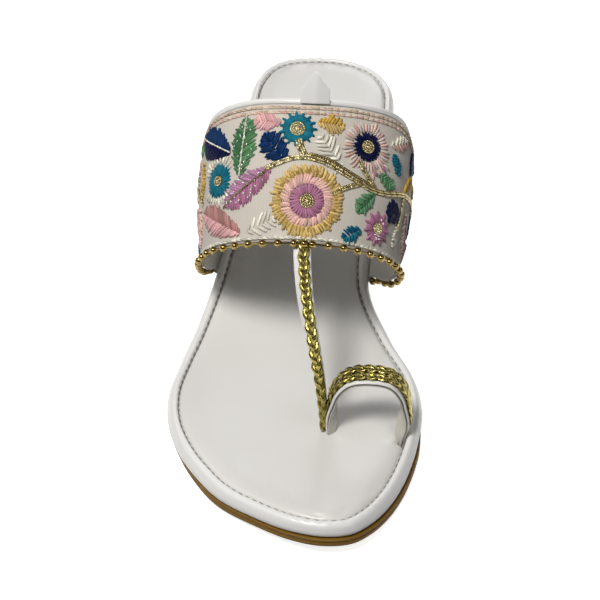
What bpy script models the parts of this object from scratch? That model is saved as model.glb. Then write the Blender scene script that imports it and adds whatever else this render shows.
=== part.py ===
# Block-heeled toe-loop sandal for the right foot, standing on its heel tip and forefoot.
# Frame: +Z up, toe towards -Y, big-toe (medial) side towards +X, origin on the floor
# under the middle of the shoe. All sizes below are millimetres; meshes are in metres.

import math

import bmesh
import bpy
import numpy as np

MM = 0.001
GAP = 0.3                      # clearance left between pieces that touch

# Sole: length, layers and side profile
SHOE_LENGTH = 247.8
OUTSOLE_THICK = 3.5
OUTSOLE_INSET = 1.2            # the outsole's edge stands inside the rolled rim
OUTSOLE_CHAMFER = 0.5
SEAT_HEIGHT = 48.6             # underside of the outsole at the back of the heel seat
SEAT_SLOPE = 0.09              # fall of the heel seat per millimetre towards the toe
SEAT_END = 48.0                # the seat is straight up to this distance from the back
TREAD_START = 165.0            # flat forefoot, measured from the back of the heel
TREAD_END = 205.0
TOE_SPRING = 5.1               # lift of the sole at the tip of the toe

# Plan outline of the rolled rim: distance from the back of the heel, and the x of each side
OUTLINE_COLUMNS = ("station", "lateral", "medial")
OUTLINE = (
    (2.5, -18.3, 13.0),
    (9.0, -26.9, 23.2),
    (20.0, -31.7, 29.7),
    (35.0, -33.2, 31.4),
    (55.0, -33.0, 29.2),
    (75.0, -32.8, 27.4),
    (97.0, -34.6, 25.9),
    (120.0, -39.0, 26.0),
    (140.0, -43.9, 35.6),
    (158.0, -48.5, 46.3),
    (175.0, -50.6, 50.4),
    (192.0, -48.2, 50.1),
    (206.0, -42.2, 47.8),
    (219.0, -33.3, 44.2),
    (230.0, -23.5, 39.4),
    (239.0, -9.8, 33.5),
    (245.5, 3.7, 26.5),
)
HEEL_END_X = -0.5
TOE_END_X = 16.3

# Rolled rim: a padded binding round the insole, as inset from the outline and height
RIM_WIDTH = 5.2
RIM_COLUMNS = ("inset", "height")
RIM_PROFILE = (
    (0.9, 0.3),
    (0.25, 1.5),
    (0.0, 3.2),
    (0.35, 4.9),
    (1.3, 6.1),
    (2.7, 6.7),
    (4.0, 6.4),
    (4.9, 5.5),
    (RIM_WIDTH, 4.4),
    (RIM_WIDTH, 0.3),
)

# Insole pad inside the rim
PAD_EDGE_HEIGHT = 5.0
PAD_CROWN_HEIGHT = 7.0
PAD_ROLL = 8.0                 # the pad reaches its full height this far from its edge
PAD_ACROSS = (0.0, 0.03, 0.08, 0.17, 0.32, 0.5, 0.68, 0.83, 0.92, 0.97, 1.0)

# Heel block and tip: straight sides and breast, elliptical back
HEEL_TIP_THICK = 4.5
HEEL_COLUMNS = ("centre_x", "half_width", "round_start_y", "round_depth", "breast_y")
HEEL_FOOT = (-0.3, 22.5, 98.3, 19.6, 78.5)
HEEL_HEAD = (-1.5, 26.4, 99.0, 21.0, 77.0)
HEEL_ROUND_STEPS = 18
HEEL_BREAST_CHAMFER = 1.6

# Instep band: one wall swept over the foot, a row for each place along the arch
BAND_THICK = 2.2
BAND_BULGE = 1.2               # outward swell of the wall between its two edges
BAND_TUCK = 3.9                # length lasted under the rim
BAND_SIDE_CLEAR = 1.9          # from the rim's side to the middle of the wall
BAND_FRONT_FOOT_Y = 4.5        # where the front and rear edges reach the sole
BAND_REAR_FOOT_Y = 33.0
BAND_COLUMNS = ("front_x", "front_y", "front_z", "rear_x", "rear_y", "rear_z")
BAND = (
    (-40.0, -3.2, 32.0, -39.8, 28.5, 52.0),      # lateral, low
    (-40.2, -9.5, 39.5, -41.8, 21.5, 70.0),      # lateral, side
    (-38.8, -17.5, 49.5, -40.2, 15.8, 85.0),     # lateral, haunch
    (-33.2, -25.4, 60.4, -35.8, 12.0, 95.8),     # lateral, shoulder
    (-18.6, -32.6, 70.2, -22.4, 7.2, 105.2),     # lateral, brow
    (1.3, -35.2, 73.8, 0.2, 3.6, 109.3),         # crown
    (18.4, -32.5, 70.2, 21.2, 8.2, 105.2),       # medial, brow
    (31.2, -25.0, 60.2, 34.6, 15.0, 95.8),       # medial, shoulder
    (36.2, -16.5, 48.5, 38.8, 19.0, 85.0),       # medial, haunch
    (36.0, -9.0, 38.5, 39.4, 24.5, 70.0),        # medial, side
    (33.2, -3.7, 31.5, 35.6, 30.0, 52.0),        # medial, low
)
BAND_ACROSS_STEPS = 6
BAND_STEPS_PER_ROW = 3

# Toe strap from the band's crown down to the slot beside the big toe
STRAP_THICK = 1.7
STRAP_COLUMNS = ("x", "y", "z", "width", "roll_deg")
STRAP = (
    (1.2, -30.1, 78.2, 7.0, 0),
    (1.3, -35.2, 73.8, 6.8, 0),
    (2.0, -41.5, 67.6, 6.5, 3),
    (3.7, -49.6, 58.8, 6.2, 10),
    (7.0, -58.6, 47.0, 5.8, 22),
    (10.6, -66.2, 34.5, 5.2, 38),
    (12.7, -70.2, 22.0, 4.7, 56),
    (13.3, -71.3, 13.0, 4.4, 70),
    (13.4, -71.4, 4.6, 4.4, 72),
)
STRAP_STEPS_PER_ROW = 3

# Toe loop round the big toe: an arch whose front edge lies in one upright plane
LOOP_THICK = 2.0
LOOP_FRONT_Y = -71.0
LOOP_COLUMNS = ("x", "z", "width")
LOOP = (
    (14.4, 4.1, 5.4),
    (14.4, 10.5, 6.0),
    (15.4, 19.0, 7.4),
    (18.4, 28.2, 8.8),
    (23.4, 34.2, 9.2),
    (29.6, 36.2, 9.2),
    (35.8, 34.4, 9.2),
    (40.6, 28.2, 8.8),
    (42.9, 19.0, 7.6),
    (43.1, 10.5, 6.4),
    (43.1, 4.1, 5.6),
)
LOOP_STEPS_PER_ROW = 3
SLOT_LATERAL_X = (11.5, 15.8)  # slot for the strap and the loop's inner leg
SLOT_Y = (-74.4, -64.2)
SLOT_MEDIAL_X = (41.7, 47.0)   # notch at the pad's edge for the loop's outer leg

# Metallic braids on the strap and on the loop: a flat wall with raised chevron strips
BRAID_BASE = 0.9
BRAID_RIDGE = 0.5
BRAID_PITCH = 3.0
BRAID_SAMPLES = 4              # sections in each repeat
STRAP_BRAID_ACROSS = (-1.0, -0.5, 0.0, 0.5, 1.0)
LOOP_BRAID_ACROSS = (-1.0, -0.72, -0.36, 0.0, 0.36, 0.72, 1.0)
STRAP_BRAID_SHARE = 0.62       # of the strap's width at its top
STRAP_BRAID_FLOOR_Z = 12.4
STRAP_BRAID_BAND_CLEAR = 3.1   # starts this far in front of the band's edge
LOOP_BRAID_MARGIN = 1.3        # bare edge left at the loop's front
LOOP_BRAID_LATERAL_Z = 20.5
LOOP_BRAID_MEDIAL_Z = 12.6

# Bead trim along the band's front edge
BEAD_RADIUS = 1.35
BEAD_PITCH = 5.7
BEAD_THREAD_RADIUS = 0.45
BEAD_OUT = 2.5                 # bead centres, from the middle of the wall outwards
BEAD_FORWARD = 0.85            # and ahead of its front edge
BEAD_SIDES = 8
BEAD_RINGS_DEG = (28, 68, 112, 152)
BEAD_END_CLEAR_Z = 0.5         # the trim stops this far above the rim

# Rolled piping along the band's rear edge, and the pointed tab at its middle
PIPING_RADIUS = 1.3
PIPING_SIDES = 8
PIPING_IN = 0.35               # piping's centre, inwards from the middle of the wall
PIPING_END_CLEAR_Z = -3.0
TAB_THICK = 0.9
TAB_CENTRE_X = 2.8
TAB_HALF_WIDTH = 5.6
TAB_SHOULDER = 5.0             # length of its straight sides
TAB_LENGTH = 12.0
TAB_RISE_DEG = 62.0
TAB_OUT = 1.05                 # base of the tab, outwards from the middle of the wall

COLOURS = {                    # base colour, roughness, metallic
    "white_leatherette": ((0.83, 0.82, 0.80, 1), 0.38, 0.0),
    "tan_sole": ((0.30, 0.16, 0.045, 1), 0.55, 0.0),
    "embroidered_band": ((0.66, 0.62, 0.56, 1), 0.80, 0.0),
    "gold_braid": ((0.52, 0.40, 0.10, 1), 0.35, 1.0),
    "gold_bead": ((0.62, 0.42, 0.13, 1), 0.25, 1.0),
}


# Scene and mesh helpers

def clear_scene():
    for obj in list(bpy.data.objects):
        bpy.data.objects.remove(obj)


def material(name):
    found = bpy.data.materials.get(name)
    if found:
        return found
    colour, roughness, metallic = COLOURS[name]
    made = bpy.data.materials.new(name)
    made.use_nodes = True
    shader = made.node_tree.nodes["Principled BSDF"]
    shader.inputs["Base Color"].default_value = colour
    shader.inputs["Roughness"].default_value = roughness
    shader.inputs["Metallic"].default_value = metallic
    return made


def add_object(name, mesh, finish):
    obj = bpy.data.objects.new(name, mesh)
    bpy.context.scene.collection.objects.link(obj)
    mesh.materials.append(material(finish))
    mesh.shade_smooth()
    mesh.set_sharp_from_angle(angle=math.radians(40))
    return obj


def cap_strips(bm, ring):
    # A ring runs out along one side and back along the other, so rungs join the two
    last = len(ring) - 1
    for i in range(len(ring) // 2 - 1):
        corners = (ring[i], ring[i + 1], ring[last - i - 1], ring[last - i])
        bm.faces.new(corners)


def loft(name, rings, finish, closed=False, flat_caps=False):
    """A solid through rings of equally many points; its ends are capped unless it closes."""
    bm = bmesh.new()
    loops = [[bm.verts.new(np.asarray(p) * MM) for p in ring] for ring in rings]
    pairs = list(zip(loops, loops[1:]))
    if closed:
        pairs.append((loops[-1], loops[0]))
    for near, far in pairs:
        for i in range(len(near)):
            j = (i + 1) % len(near)
            bm.faces.new((near[i], near[j], far[j], far[i]))
    if not closed:
        for ring in (loops[0], loops[-1]):
            if flat_caps:
                bm.faces.new(ring)
            else:
                cap_strips(bm, ring)
    bmesh.ops.recalc_face_normals(bm, faces=bm.faces)
    mesh = bpy.data.meshes.new(name)
    bm.to_mesh(mesh)
    bm.free()
    return add_object(name, mesh, finish)


def block(name, xs, ys, zs, finish):
    rings = [[(xs[0], ys[0], z), (xs[1], ys[0], z), (xs[1], ys[1], z), (xs[0], ys[1], z)] for z in zs]
    return loft(name, rings, finish, flat_caps=True)


def boolean(obj, helper, operation):
    modifier = obj.modifiers.new(helper.name, "BOOLEAN")
    modifier.operation = operation
    modifier.object = helper
    modifier.solver = "EXACT"
    modifier.use_self = True
    helper.hide_render = True
    helper.display_type = "WIRE"


# Curves

def smooth_path(points, steps, closed=False):
    """Centripetal curve through the points, with the given steps in each span."""
    pts = np.asarray(points, float)
    if closed:
        padded = np.vstack((pts[-1:], pts, pts[:2]))
    else:
        padded = np.vstack((2 * pts[0] - pts[1], pts, 2 * pts[-1] - pts[-2]))
    out = []
    for a, b, c, d in zip(padded, padded[1:], padded[2:], padded[3:]):
        k = np.cumsum([0.0] + [np.linalg.norm(q[:3] - p[:3]) ** 0.5 for p, q in ((a, b), (b, c), (c, d))])
        for t in np.linspace(k[1], k[2], steps, endpoint=False):
            ab = (a * (k[1] - t) + b * (t - k[0])) / (k[1] - k[0])
            bc = (b * (k[2] - t) + c * (t - k[1])) / (k[2] - k[1])
            cd = (c * (k[3] - t) + d * (t - k[2])) / (k[3] - k[2])
            abc = (ab * (k[2] - t) + bc * (t - k[0])) / (k[2] - k[0])
            bcd = (bc * (k[3] - t) + cd * (t - k[1])) / (k[3] - k[1])
            out.append((abc * (k[2] - t) + bcd * (t - k[1])) / (k[2] - k[1]))
    if not closed:
        out.append(pts[-1])
    return np.array(out)


def resample(points, count):
    """Rows of numbers, re-spaced evenly by the distance between their first three columns."""
    steps = np.linalg.norm(np.diff(points[:, :3], axis=0), axis=1)
    run = np.concatenate(([0.0], np.cumsum(steps)))
    at = np.linspace(0.0, run[-1], count)
    return np.stack([np.interp(at, run, column) for column in points.T], axis=1)


def unit(vectors):
    return vectors / np.linalg.norm(vectors, axis=-1, keepdims=True)


def tangents(points):
    return unit(np.gradient(points, axis=0))


# Sole form

def sole_height(station):
    """Height of the outsole's underside at a distance from the back of the heel."""
    s = np.asarray(station, float)
    seat = SEAT_HEIGHT - SEAT_SLOPE * s
    span = TREAD_START - SEAT_END
    t = np.clip((s - SEAT_END) / span, 0.0, 1.0)
    start = SEAT_HEIGHT - SEAT_SLOPE * SEAT_END
    arch = start * (2 * t**3 - 3 * t**2 + 1) - SEAT_SLOPE * span * (t**3 - 2 * t**2 + t)
    toe = np.clip((s - TREAD_END) / (SHOE_LENGTH - TREAD_END), 0.0, None)
    return np.where(s < SEAT_END, seat, arch) + TOE_SPRING * toe**2


def station_to_y(station):
    return SHOE_LENGTH / 2 - station


def y_to_station(y):
    return SHOE_LENGTH / 2 - y


def outline(inset=0.0, steps=3):
    """Closed plan outline as (x, station), from the heel round the medial side to the toe and back."""
    medial = [(row[2], row[0]) for row in OUTLINE]
    lateral = [(row[1], row[0]) for row in reversed(OUTLINE)]
    points = [(HEEL_END_X, 0.0)] + medial + [(TOE_END_X, SHOE_LENGTH)] + lateral
    curve = smooth_path(points, steps, closed=True)
    along = unit(np.roll(curve, -1, 0) - np.roll(curve, 1, 0))
    inward = np.stack((-along[:, 1], along[:, 0]), axis=1)
    return curve + inward * inset


def sole_sides(inset):
    """Functions that give the lateral and medial x of an inset outline at a station, and its ends."""
    curve = outline(inset, steps=12)
    heel = int(np.argmin(curve[:, 1]))
    curve = np.roll(curve, -heel, axis=0)
    toe = int(np.argmax(curve[:, 1]))
    medial = curve[:toe + 1]
    lateral = np.vstack((curve[toe:], curve[:1]))[::-1]

    def lateral_x(s):
        return np.interp(s, lateral[:, 1], lateral[:, 0])

    def medial_x(s):
        return np.interp(s, medial[:, 1], medial[:, 0])

    return lateral_x, medial_x, curve[0, 1], curve[toe, 1]


def sole_stations(first, last, step=9.5):
    ends = np.array((0.12, 0.8, 2.2, 4.8, 8.5, 14.0, 21.0))
    marks = [SEAT_END, TREAD_START, TREAD_END]
    middle = np.arange(first + ends[-1] + step, last - ends[-1] - step / 2, step)
    middle = [s for s in middle if min(abs(s - m) for m in marks) > step / 3]
    return np.array(sorted([*(first + ends), *middle, *marks, *(last - ends)]))


def outsole():
    lateral_x, medial_x, first, last = sole_sides(OUTSOLE_INSET)
    rings = []
    for s in sole_stations(first, last):
        left, right, low = lateral_x(s), medial_x(s), sole_height(s)
        cut = min(OUTSOLE_CHAMFER, (right - left) / 4)
        high = low + OUTSOLE_THICK
        y = station_to_y(s)
        rings.append([
            (left, y, high - cut), (left, y, low + cut), (left + cut, y, low), (right - cut, y, low),
            (right, y, low + cut), (right, y, high - cut), (right - cut, y, high), (left + cut, y, high),
        ])
    return loft("outsole", rings, "tan_sole")


def edge_binding():
    rings = []
    turns = [outline(inset) for inset, height in RIM_PROFILE]
    for i in range(len(turns[0])):
        ring = []
        for turn, (inset, height) in zip(turns, RIM_PROFILE):
            x, s = turn[i]
            ring.append((x, station_to_y(s), sole_height(s) + OUTSOLE_THICK + height))
        rings.append(ring)
    return loft("edge_binding", rings, "white_leatherette", closed=True)


def insole():
    lateral_x, medial_x, first, last = sole_sides(RIM_WIDTH + GAP)
    rings = []
    for s in sole_stations(first, last):
        left, right = lateral_x(s), medial_x(s)
        base = sole_height(s) + OUTSOLE_THICK
        y = station_to_y(s)
        top = []
        for share in PAD_ACROSS:
            x = left + (right - left) * share
            edge = min(x - left, right - x, s - first, last - s)
            swell = 1.0 - (1.0 - min(edge / PAD_ROLL, 1.0)) ** 2
            height = PAD_EDGE_HEIGHT + (PAD_CROWN_HEIGHT - PAD_EDGE_HEIGHT) * swell
            top.append((x, y, base + height))
        bottom = [(x, y, base + GAP) for x, _, _ in reversed(top)]
        rings.append(top + bottom)
    return loft("insole", rings, "white_leatherette")


# Heel

def heel_ring(form, height):
    """A heel section: straight breast and sides, elliptical back; height is a function of y."""
    centre, half, round_y, depth, breast = form
    cut = HEEL_BREAST_CHAMFER
    points = [(half - cut, breast), (half, breast + cut)]
    for i in range(HEEL_ROUND_STEPS + 1):
        angle = math.pi * i / HEEL_ROUND_STEPS
        points.append((half * math.cos(angle), round_y + depth * math.sin(angle)))
    points += [(-half, breast + cut), (-half + cut, breast)]
    return [(centre + x, y, height(y)) for x, y in points]


def heel_form_at(height):
    share = height / SEAT_HEIGHT
    return tuple(foot + (head - foot) * share for foot, head in zip(HEEL_FOOT, HEEL_HEAD))


def heel_tip():
    rings = [heel_ring(heel_form_at(z), lambda y, z=z: z) for z in (0.0, HEEL_TIP_THICK)]
    return loft("heel_tip", rings, "tan_sole", flat_caps=True)


def heel_block():
    foot = HEEL_TIP_THICK + GAP

    def seat(y):
        return float(sole_height(y_to_station(y))) - GAP

    rings = [heel_ring(heel_form_at(foot), lambda y: foot), heel_ring(HEEL_HEAD, seat)]
    return loft("heel_block", rings, "white_leatherette", flat_caps=True)


# Upper

def band_end(share, side, tuck):
    """The band's lasted end at a share of its depth: in under the rim, round its edge and up."""
    y = BAND_FRONT_FOOT_Y + (BAND_REAR_FOOT_Y - BAND_FRONT_FOOT_Y) * share
    s = y_to_station(y)
    lateral_x, medial_x, _, _ = sole_sides(0.0)
    out = -1.0 if side == "lateral" else 1.0
    edge = float(lateral_x(s) if side == "lateral" else medial_x(s))
    low = float(sole_height(s)) + OUTSOLE_THICK + GAP + BAND_THICK / 2
    turn = BAND_SIDE_CLEAR
    return [
        (edge - out * tuck, y, low),
        (edge - out * tuck / 2, y, low),
        (edge - out * 0.2, y, low),
        (edge + out * turn * 0.62, y, low + turn * 0.32),
        (edge + out * turn * 0.95, y, low + turn * 1.15),
        (edge + out * (turn + 0.35), y, low + turn * 2.3),
    ]


def band_grid(shares, tuck=BAND_TUCK):
    """Middle surface of the band: a row of points along the arch for each share of its depth."""
    table = np.array(BAND)
    rows = []
    for share in shares:
        arch = table[:, :3] * (1.0 - share) + table[:, 3:] * share
        points = np.vstack((
            band_end(share, "lateral", tuck), arch, band_end(share, "medial", tuck)[::-1]))
        rows.append(smooth_path(points, BAND_STEPS_PER_ROW))
    grid = np.array(rows)
    swell = np.clip((grid[:, :, 2] - 30.0) / 20.0, 0.0, 1.0)
    lift = 4.0 * np.array(shares) * (1.0 - np.array(shares)) * BAND_BULGE
    normals = grid_normals(grid)
    return grid + normals * (swell * np.clip(lift, 0.0, None)[:, None])[:, :, None]


def grid_normals(grid):
    """Outward unit normals of the band's grid of points."""
    along = np.gradient(grid, axis=1)
    across = np.gradient(grid, axis=0)
    return unit(np.cross(along, across))


def band_shell(name, thick, edge_grow=0.0, tuck=BAND_TUCK):
    shares = np.linspace(0.0, 1.0, BAND_ACROSS_STEPS + 1)
    if edge_grow:
        shares = np.linspace(-edge_grow, 1.0 + edge_grow, BAND_ACROSS_STEPS + 1)
    grid = band_grid(shares, tuck)
    normals = grid_normals(grid)
    outer = grid + normals * thick / 2
    inner = grid - normals * thick / 2
    rings = [np.vstack((outer[:, i], inner[::-1, i])) for i in range(grid.shape[1])]
    return loft(name, rings, "embroidered_band")


def strap_frames(path):
    """Tangent, width direction and outward normal along the toe strap, turned by its roll column."""
    along = tangents(path[:, :3])
    across = np.array((1.0, 0.0, 0.0)) - along * along[:, :1]
    across = unit(across)
    out = np.cross(along, across)
    roll = np.radians(path[:, 4])[:, None]
    return along, across * np.cos(roll) + out * np.sin(roll), out * np.cos(roll) - across * np.sin(roll)


def strap_path():
    return smooth_path(STRAP, STRAP_STEPS_PER_ROW)


def toe_strap():
    path = strap_path()
    _, across, out = strap_frames(path)
    half = path[:, 3:4] / 2
    rings = []
    for p, w, n, h in zip(path[:, :3], across, out, half):
        t = n * STRAP_THICK / 2
        rings.append([p - w * h + t, p + w * h + t, p + w * h - t, p - w * h - t])
    return loft("toe_strap_shape", rings, "white_leatherette")


def loop_path():
    """Rows of x, y, z and width along the toe loop; y is the middle of its width."""
    curve = smooth_path([(x, LOOP_FRONT_Y + w / 2, z, w) for x, z, w in LOOP], LOOP_STEPS_PER_ROW)
    return curve


def loop_normals(path):
    along = tangents(path[:, :3] * (1.0, 0.0, 1.0))
    return np.stack((-along[:, 2], np.zeros(len(path)), along[:, 0]), axis=1)


def toe_loop():
    path = loop_path()
    rings = []
    for (x, y, z, width), n in zip(path, loop_normals(path)):
        p, t, w = np.array((x, y, z)), n * LOOP_THICK / 2, np.array((0.0, width / 2, 0.0))
        rings.append([p - w + t, p + w + t, p + w - t, p - w - t])
    return loft("toe_loop_shape", rings, "white_leatherette")


def upper():
    band = band_shell("upper", BAND_THICK)
    boolean(band, toe_strap(), "UNION")
    boolean(band, toe_loop(), "UNION")
    return band


# Trims

def braid(name, centre, across, out, half_width, shares):
    """A flat woven trim: chevron strips stand on a thin wall, over evenly spaced sections."""
    rings = []
    for i, (p, w, n, h) in enumerate(zip(centre, across, out, half_width)):
        top = []
        for share in shares:
            phase = 2 * math.pi * (i / BRAID_SAMPLES - abs(share) * 0.5)
            crown = math.sqrt(max(0.0, 1.0 - share * share * 0.75))
            height = BRAID_BASE * crown + BRAID_RIDGE * crown * (0.5 + 0.5 * math.cos(phase))
            top.append(p + w * h * share + n * height)
        bottom = [p + w * h * share for share in reversed(shares)]
        rings.append(top + bottom)
    return loft(name, rings, "gold_braid")


def braid_sections(path):
    length = np.linalg.norm(np.diff(path[:, :3], axis=0), axis=1).sum()
    return resample(path, int(length / BRAID_PITCH * BRAID_SAMPLES) + 1)


def strap_braid():
    path = smooth_path(STRAP, 12)
    front = STRAP[1][1] - STRAP_BRAID_BAND_CLEAR * 0.73
    keep = (path[:, 1] < front) & (path[:, 2] > STRAP_BRAID_FLOOR_Z)
    path = braid_sections(path[keep])
    _, across, out = strap_frames(path)
    centre = path[:, :3] + out * (STRAP_THICK / 2 + GAP)
    half = np.minimum(STRAP[1][3] * STRAP_BRAID_SHARE, path[:, 3] - 0.3) / 2
    return braid("strap_braid", centre, across, out, half, STRAP_BRAID_ACROSS)


def loop_braid():
    path = smooth_path([(x, LOOP_FRONT_Y + w / 2, z, w) for x, z, w in LOOP], 12)
    crown = int(np.argmax(path[:, 2]))
    floor = np.where(np.arange(len(path)) < crown, LOOP_BRAID_LATERAL_Z, LOOP_BRAID_MEDIAL_Z)
    path = braid_sections(path[path[:, 2] > floor])
    out = loop_normals(path)
    across = np.tile((0.0, 1.0, 0.0), (len(path), 1))
    half = (path[:, 3] - LOOP_BRAID_MARGIN - 0.2) / 2
    centre = path[:, :3] + out * (LOOP_THICK / 2 + GAP) + across * (LOOP_BRAID_MARGIN / 2 - 0.1)
    return braid("loop_braid", centre, across, out, half, LOOP_BRAID_ACROSS)


def band_edge(share, end_clear):
    """Points of one edge of the band above the rim, with its outward and edgeward directions."""
    step = 0.02
    shares = (share - step, share, share + step)
    grid = band_grid(shares)
    out = grid_normals(grid)[1]
    edgeward = unit(grid[2] - grid[0]) * (1.0 if share > 0.5 else -1.0)
    along = tangents(grid[1])
    edgeward = unit(edgeward - along * np.sum(edgeward * along, axis=1, keepdims=True))
    s = y_to_station(grid[1][:, 1])
    rim_top = sole_height(s) + OUTSOLE_THICK + max(height for _, height in RIM_PROFILE)
    keep = grid[1][:, 2] > rim_top + end_clear
    return grid[1][keep], out[keep], edgeward[keep]


def tube(name, centres, radii, sides, finish):
    """A round cord through the centres, with a radius at each of them."""
    along = tangents(centres)
    side = np.array((0.0, 1.0, 0.0)) - along * along[:, 1:2]
    side = unit(side)
    up = np.cross(along, side)
    turn = 2 * math.pi * np.arange(sides) / sides
    rings = []
    for p, a, b, r in zip(centres, side, up, radii):
        rings.append([p + r * (a * math.cos(t) + b * math.sin(t)) for t in turn])
    return loft(name, rings, finish, flat_caps=True)


def bead_trim():
    points, out, forward = band_edge(0.0, BEAD_END_CLEAR_Z)
    line = resample(points + out * BEAD_OUT + forward * BEAD_FORWARD, 400)
    run = np.concatenate(([0.0], np.cumsum(np.linalg.norm(np.diff(line, axis=0), axis=1))))
    count = int(run[-1] / BEAD_PITCH)
    pitch = run[-1] / count
    stops, radii = [], []
    for i in range(count):
        middle = pitch * (i + 0.5)
        for degrees in BEAD_RINGS_DEG:
            angle = math.radians(degrees)
            stops.append(middle - BEAD_RADIUS * math.cos(angle))
            radii.append(max(BEAD_THREAD_RADIUS, BEAD_RADIUS * math.sin(angle)))
    centres = np.stack([np.interp(stops, run, column) for column in line.T], axis=1)
    return tube("bead_trim", centres, radii, BEAD_SIDES, "gold_bead")


def rear_piping():
    points, out, back = band_edge(1.0, PIPING_END_CLEAR_Z)
    centres = points - out * PIPING_IN + back * (PIPING_RADIUS + GAP)
    centres = resample(centres, 40)
    return tube("rear_piping", centres, [PIPING_RADIUS] * len(centres), PIPING_SIDES, "white_leatherette")


def pull_tab():
    points, out, back = band_edge(1.0, PIPING_END_CLEAR_Z)
    crown = int(np.argmax(points[:, 2]))
    base = points[crown] + out[crown] * TAB_OUT + back[crown] * 2 * GAP
    base[0] = TAB_CENTRE_X
    rise = math.radians(TAB_RISE_DEG)
    up = np.array((0.0, math.cos(rise), math.sin(rise)))
    out_of = np.array((0.0, -math.sin(rise), math.cos(rise)))
    side = np.array((1.0, 0.0, 0.0))
    corners = (
        (-TAB_HALF_WIDTH, 0.0), (TAB_HALF_WIDTH, 0.0), (TAB_HALF_WIDTH, TAB_SHOULDER),
        (0.4, TAB_LENGTH), (-0.4, TAB_LENGTH), (-TAB_HALF_WIDTH, TAB_SHOULDER),
    )
    rings = []
    for level in (0.0, TAB_THICK):
        rings.append([base + side * x + up * along + out_of * level for x, along in corners])
    return loft("pull_tab", rings, "white_leatherette", flat_caps=True)


# Assembly

def main():
    clear_scene()
    outsole()
    heel_tip()
    heel_block()
    rim = edge_binding()
    boolean(rim, band_shell("band_recess", BAND_THICK + 2.4 * GAP, 0.02, BAND_TUCK + 0.5), "DIFFERENCE")
    pad = insole()
    through = (-20.0, 40.0)
    boolean(pad, block("strap_slot", SLOT_LATERAL_X, SLOT_Y, through, "white_leatherette"), "DIFFERENCE")
    boolean(pad, block("loop_slot", SLOT_MEDIAL_X, SLOT_Y, through, "white_leatherette"), "DIFFERENCE")
    upper()
    strap_braid()
    loop_braid()
    bead_trim()
    rear_piping()
    pull_tab()


main()
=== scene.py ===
import math

import bmesh
import bpy
import numpy as np
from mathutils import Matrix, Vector


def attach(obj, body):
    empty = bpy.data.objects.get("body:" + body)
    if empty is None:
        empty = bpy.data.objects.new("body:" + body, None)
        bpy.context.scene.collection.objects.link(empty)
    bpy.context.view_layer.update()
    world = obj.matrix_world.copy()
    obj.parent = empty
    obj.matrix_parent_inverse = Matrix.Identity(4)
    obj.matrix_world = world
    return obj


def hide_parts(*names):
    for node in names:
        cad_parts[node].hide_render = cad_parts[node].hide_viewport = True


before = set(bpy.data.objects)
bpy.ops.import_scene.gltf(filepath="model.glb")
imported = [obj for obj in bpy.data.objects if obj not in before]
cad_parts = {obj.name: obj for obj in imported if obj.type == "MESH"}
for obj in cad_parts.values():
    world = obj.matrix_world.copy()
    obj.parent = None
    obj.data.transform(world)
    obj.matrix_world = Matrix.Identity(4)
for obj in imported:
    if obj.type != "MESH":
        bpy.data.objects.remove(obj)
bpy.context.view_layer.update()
mm = 0.001                      # all shapes below are worked out in millimetres
rng = np.random.default_rng(11)
print("frame loaded:", len(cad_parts), "solids")

# Camera, floor and light

cameraLook = {
    "place": (41.8, -523.0, 453.8),
    "aim": (-1.1, -16.8, 30.0),
    "lens": 99.0,
}
lightLook = [                   # name, place and aim in mm, size in mm, power, colour
    ("keySoftbox", (-300, -500, 1130), (0, -20, 30), 300, 11.4, "#fffdf9"),
    ("leftSoftbox", (-900, 60, 760), (0, -10, 30), 800, 2.5, "#fcfcfb"),
    ("rightSoftbox", (760, -420, 820), (0, -10, 40), 700, 1.5, "#fafbfd"),
    ("backSoftbox", (180, 980, 520), (0, 40, 40), 600, 3.0, "#fafbfd"),
]
roomLight = ("#f0f3f7", 0.055)
floorLook = {"half": 30000.0, "drop": 0.3, "glow": 0.9}


def hexColour(code):            # sRGB hex to linear
    parts = [int(code[i:i + 2], 16) / 255 for i in (1, 3, 5)]
    return [p / 12.92 if p <= 0.04045 else ((p + 0.055) / 1.055) ** 2.4 for p in parts] + [1.0]


def aimed(obj, place, aim):
    obj.location = Vector(place) * mm
    obj.rotation_euler = (Vector(aim) - Vector(place)).to_track_quat("-Z", "Y").to_euler()
    bpy.context.scene.collection.objects.link(obj)
    return obj


camera = bpy.data.objects.new("camera", bpy.data.cameras.new("camera"))
camera.data.lens = cameraLook["lens"]
camera.data.clip_start = 0.01
aimed(camera, cameraLook["place"], cameraLook["aim"])
bpy.context.scene.camera = camera
bpy.context.scene.view_settings.view_transform = "Standard"

for lampName, place, aim, size, power, tint in lightLook:
    lamp = bpy.data.lights.new(lampName, "AREA")
    lamp.size = size * mm
    lamp.energy = power
    lamp.color = hexColour(tint)[:3]
    aimed(bpy.data.objects.new(lampName, lamp), place, aim)

world = bpy.data.worlds.new("studioRoom")
world.use_nodes = True
world.node_tree.nodes["Background"].inputs["Color"].default_value = hexColour(roomLight[0])
world.node_tree.nodes["Background"].inputs["Strength"].default_value = roomLight[1]
bpy.context.scene.world = world
print("camera and lights set")

# Materials


def addNode(tree, kind, settings={}, links={}):
    node = tree.nodes.new("ShaderNode" + kind)
    for name, value in settings.items():
        if isinstance(name, int) or name in node.inputs:
            node.inputs[name].default_value = value
        else:
            setattr(node, name, value)
    for name, source in links.items():
        tree.links.new(source, node.inputs[name])
    return node


def startMaterial(name, settings):
    material = bpy.data.materials.new(name)
    material.use_nodes = True
    tree = material.node_tree
    shader = tree.nodes["Principled BSDF"]
    for socket, value in settings.items():
        shader.inputs[socket].default_value = value
    at = addNode(tree, "TexCoord")
    return material, tree, shader, at


def perMetre(sizeMm):           # pattern scale for a feature of this size
    return 1.0 / (sizeMm * mm)


def waveScale(pitchMm):         # a band wave turns every 2 pi / 20 of its scaled length
    return 2 * math.pi / 20 * perMetre(pitchMm)


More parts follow.
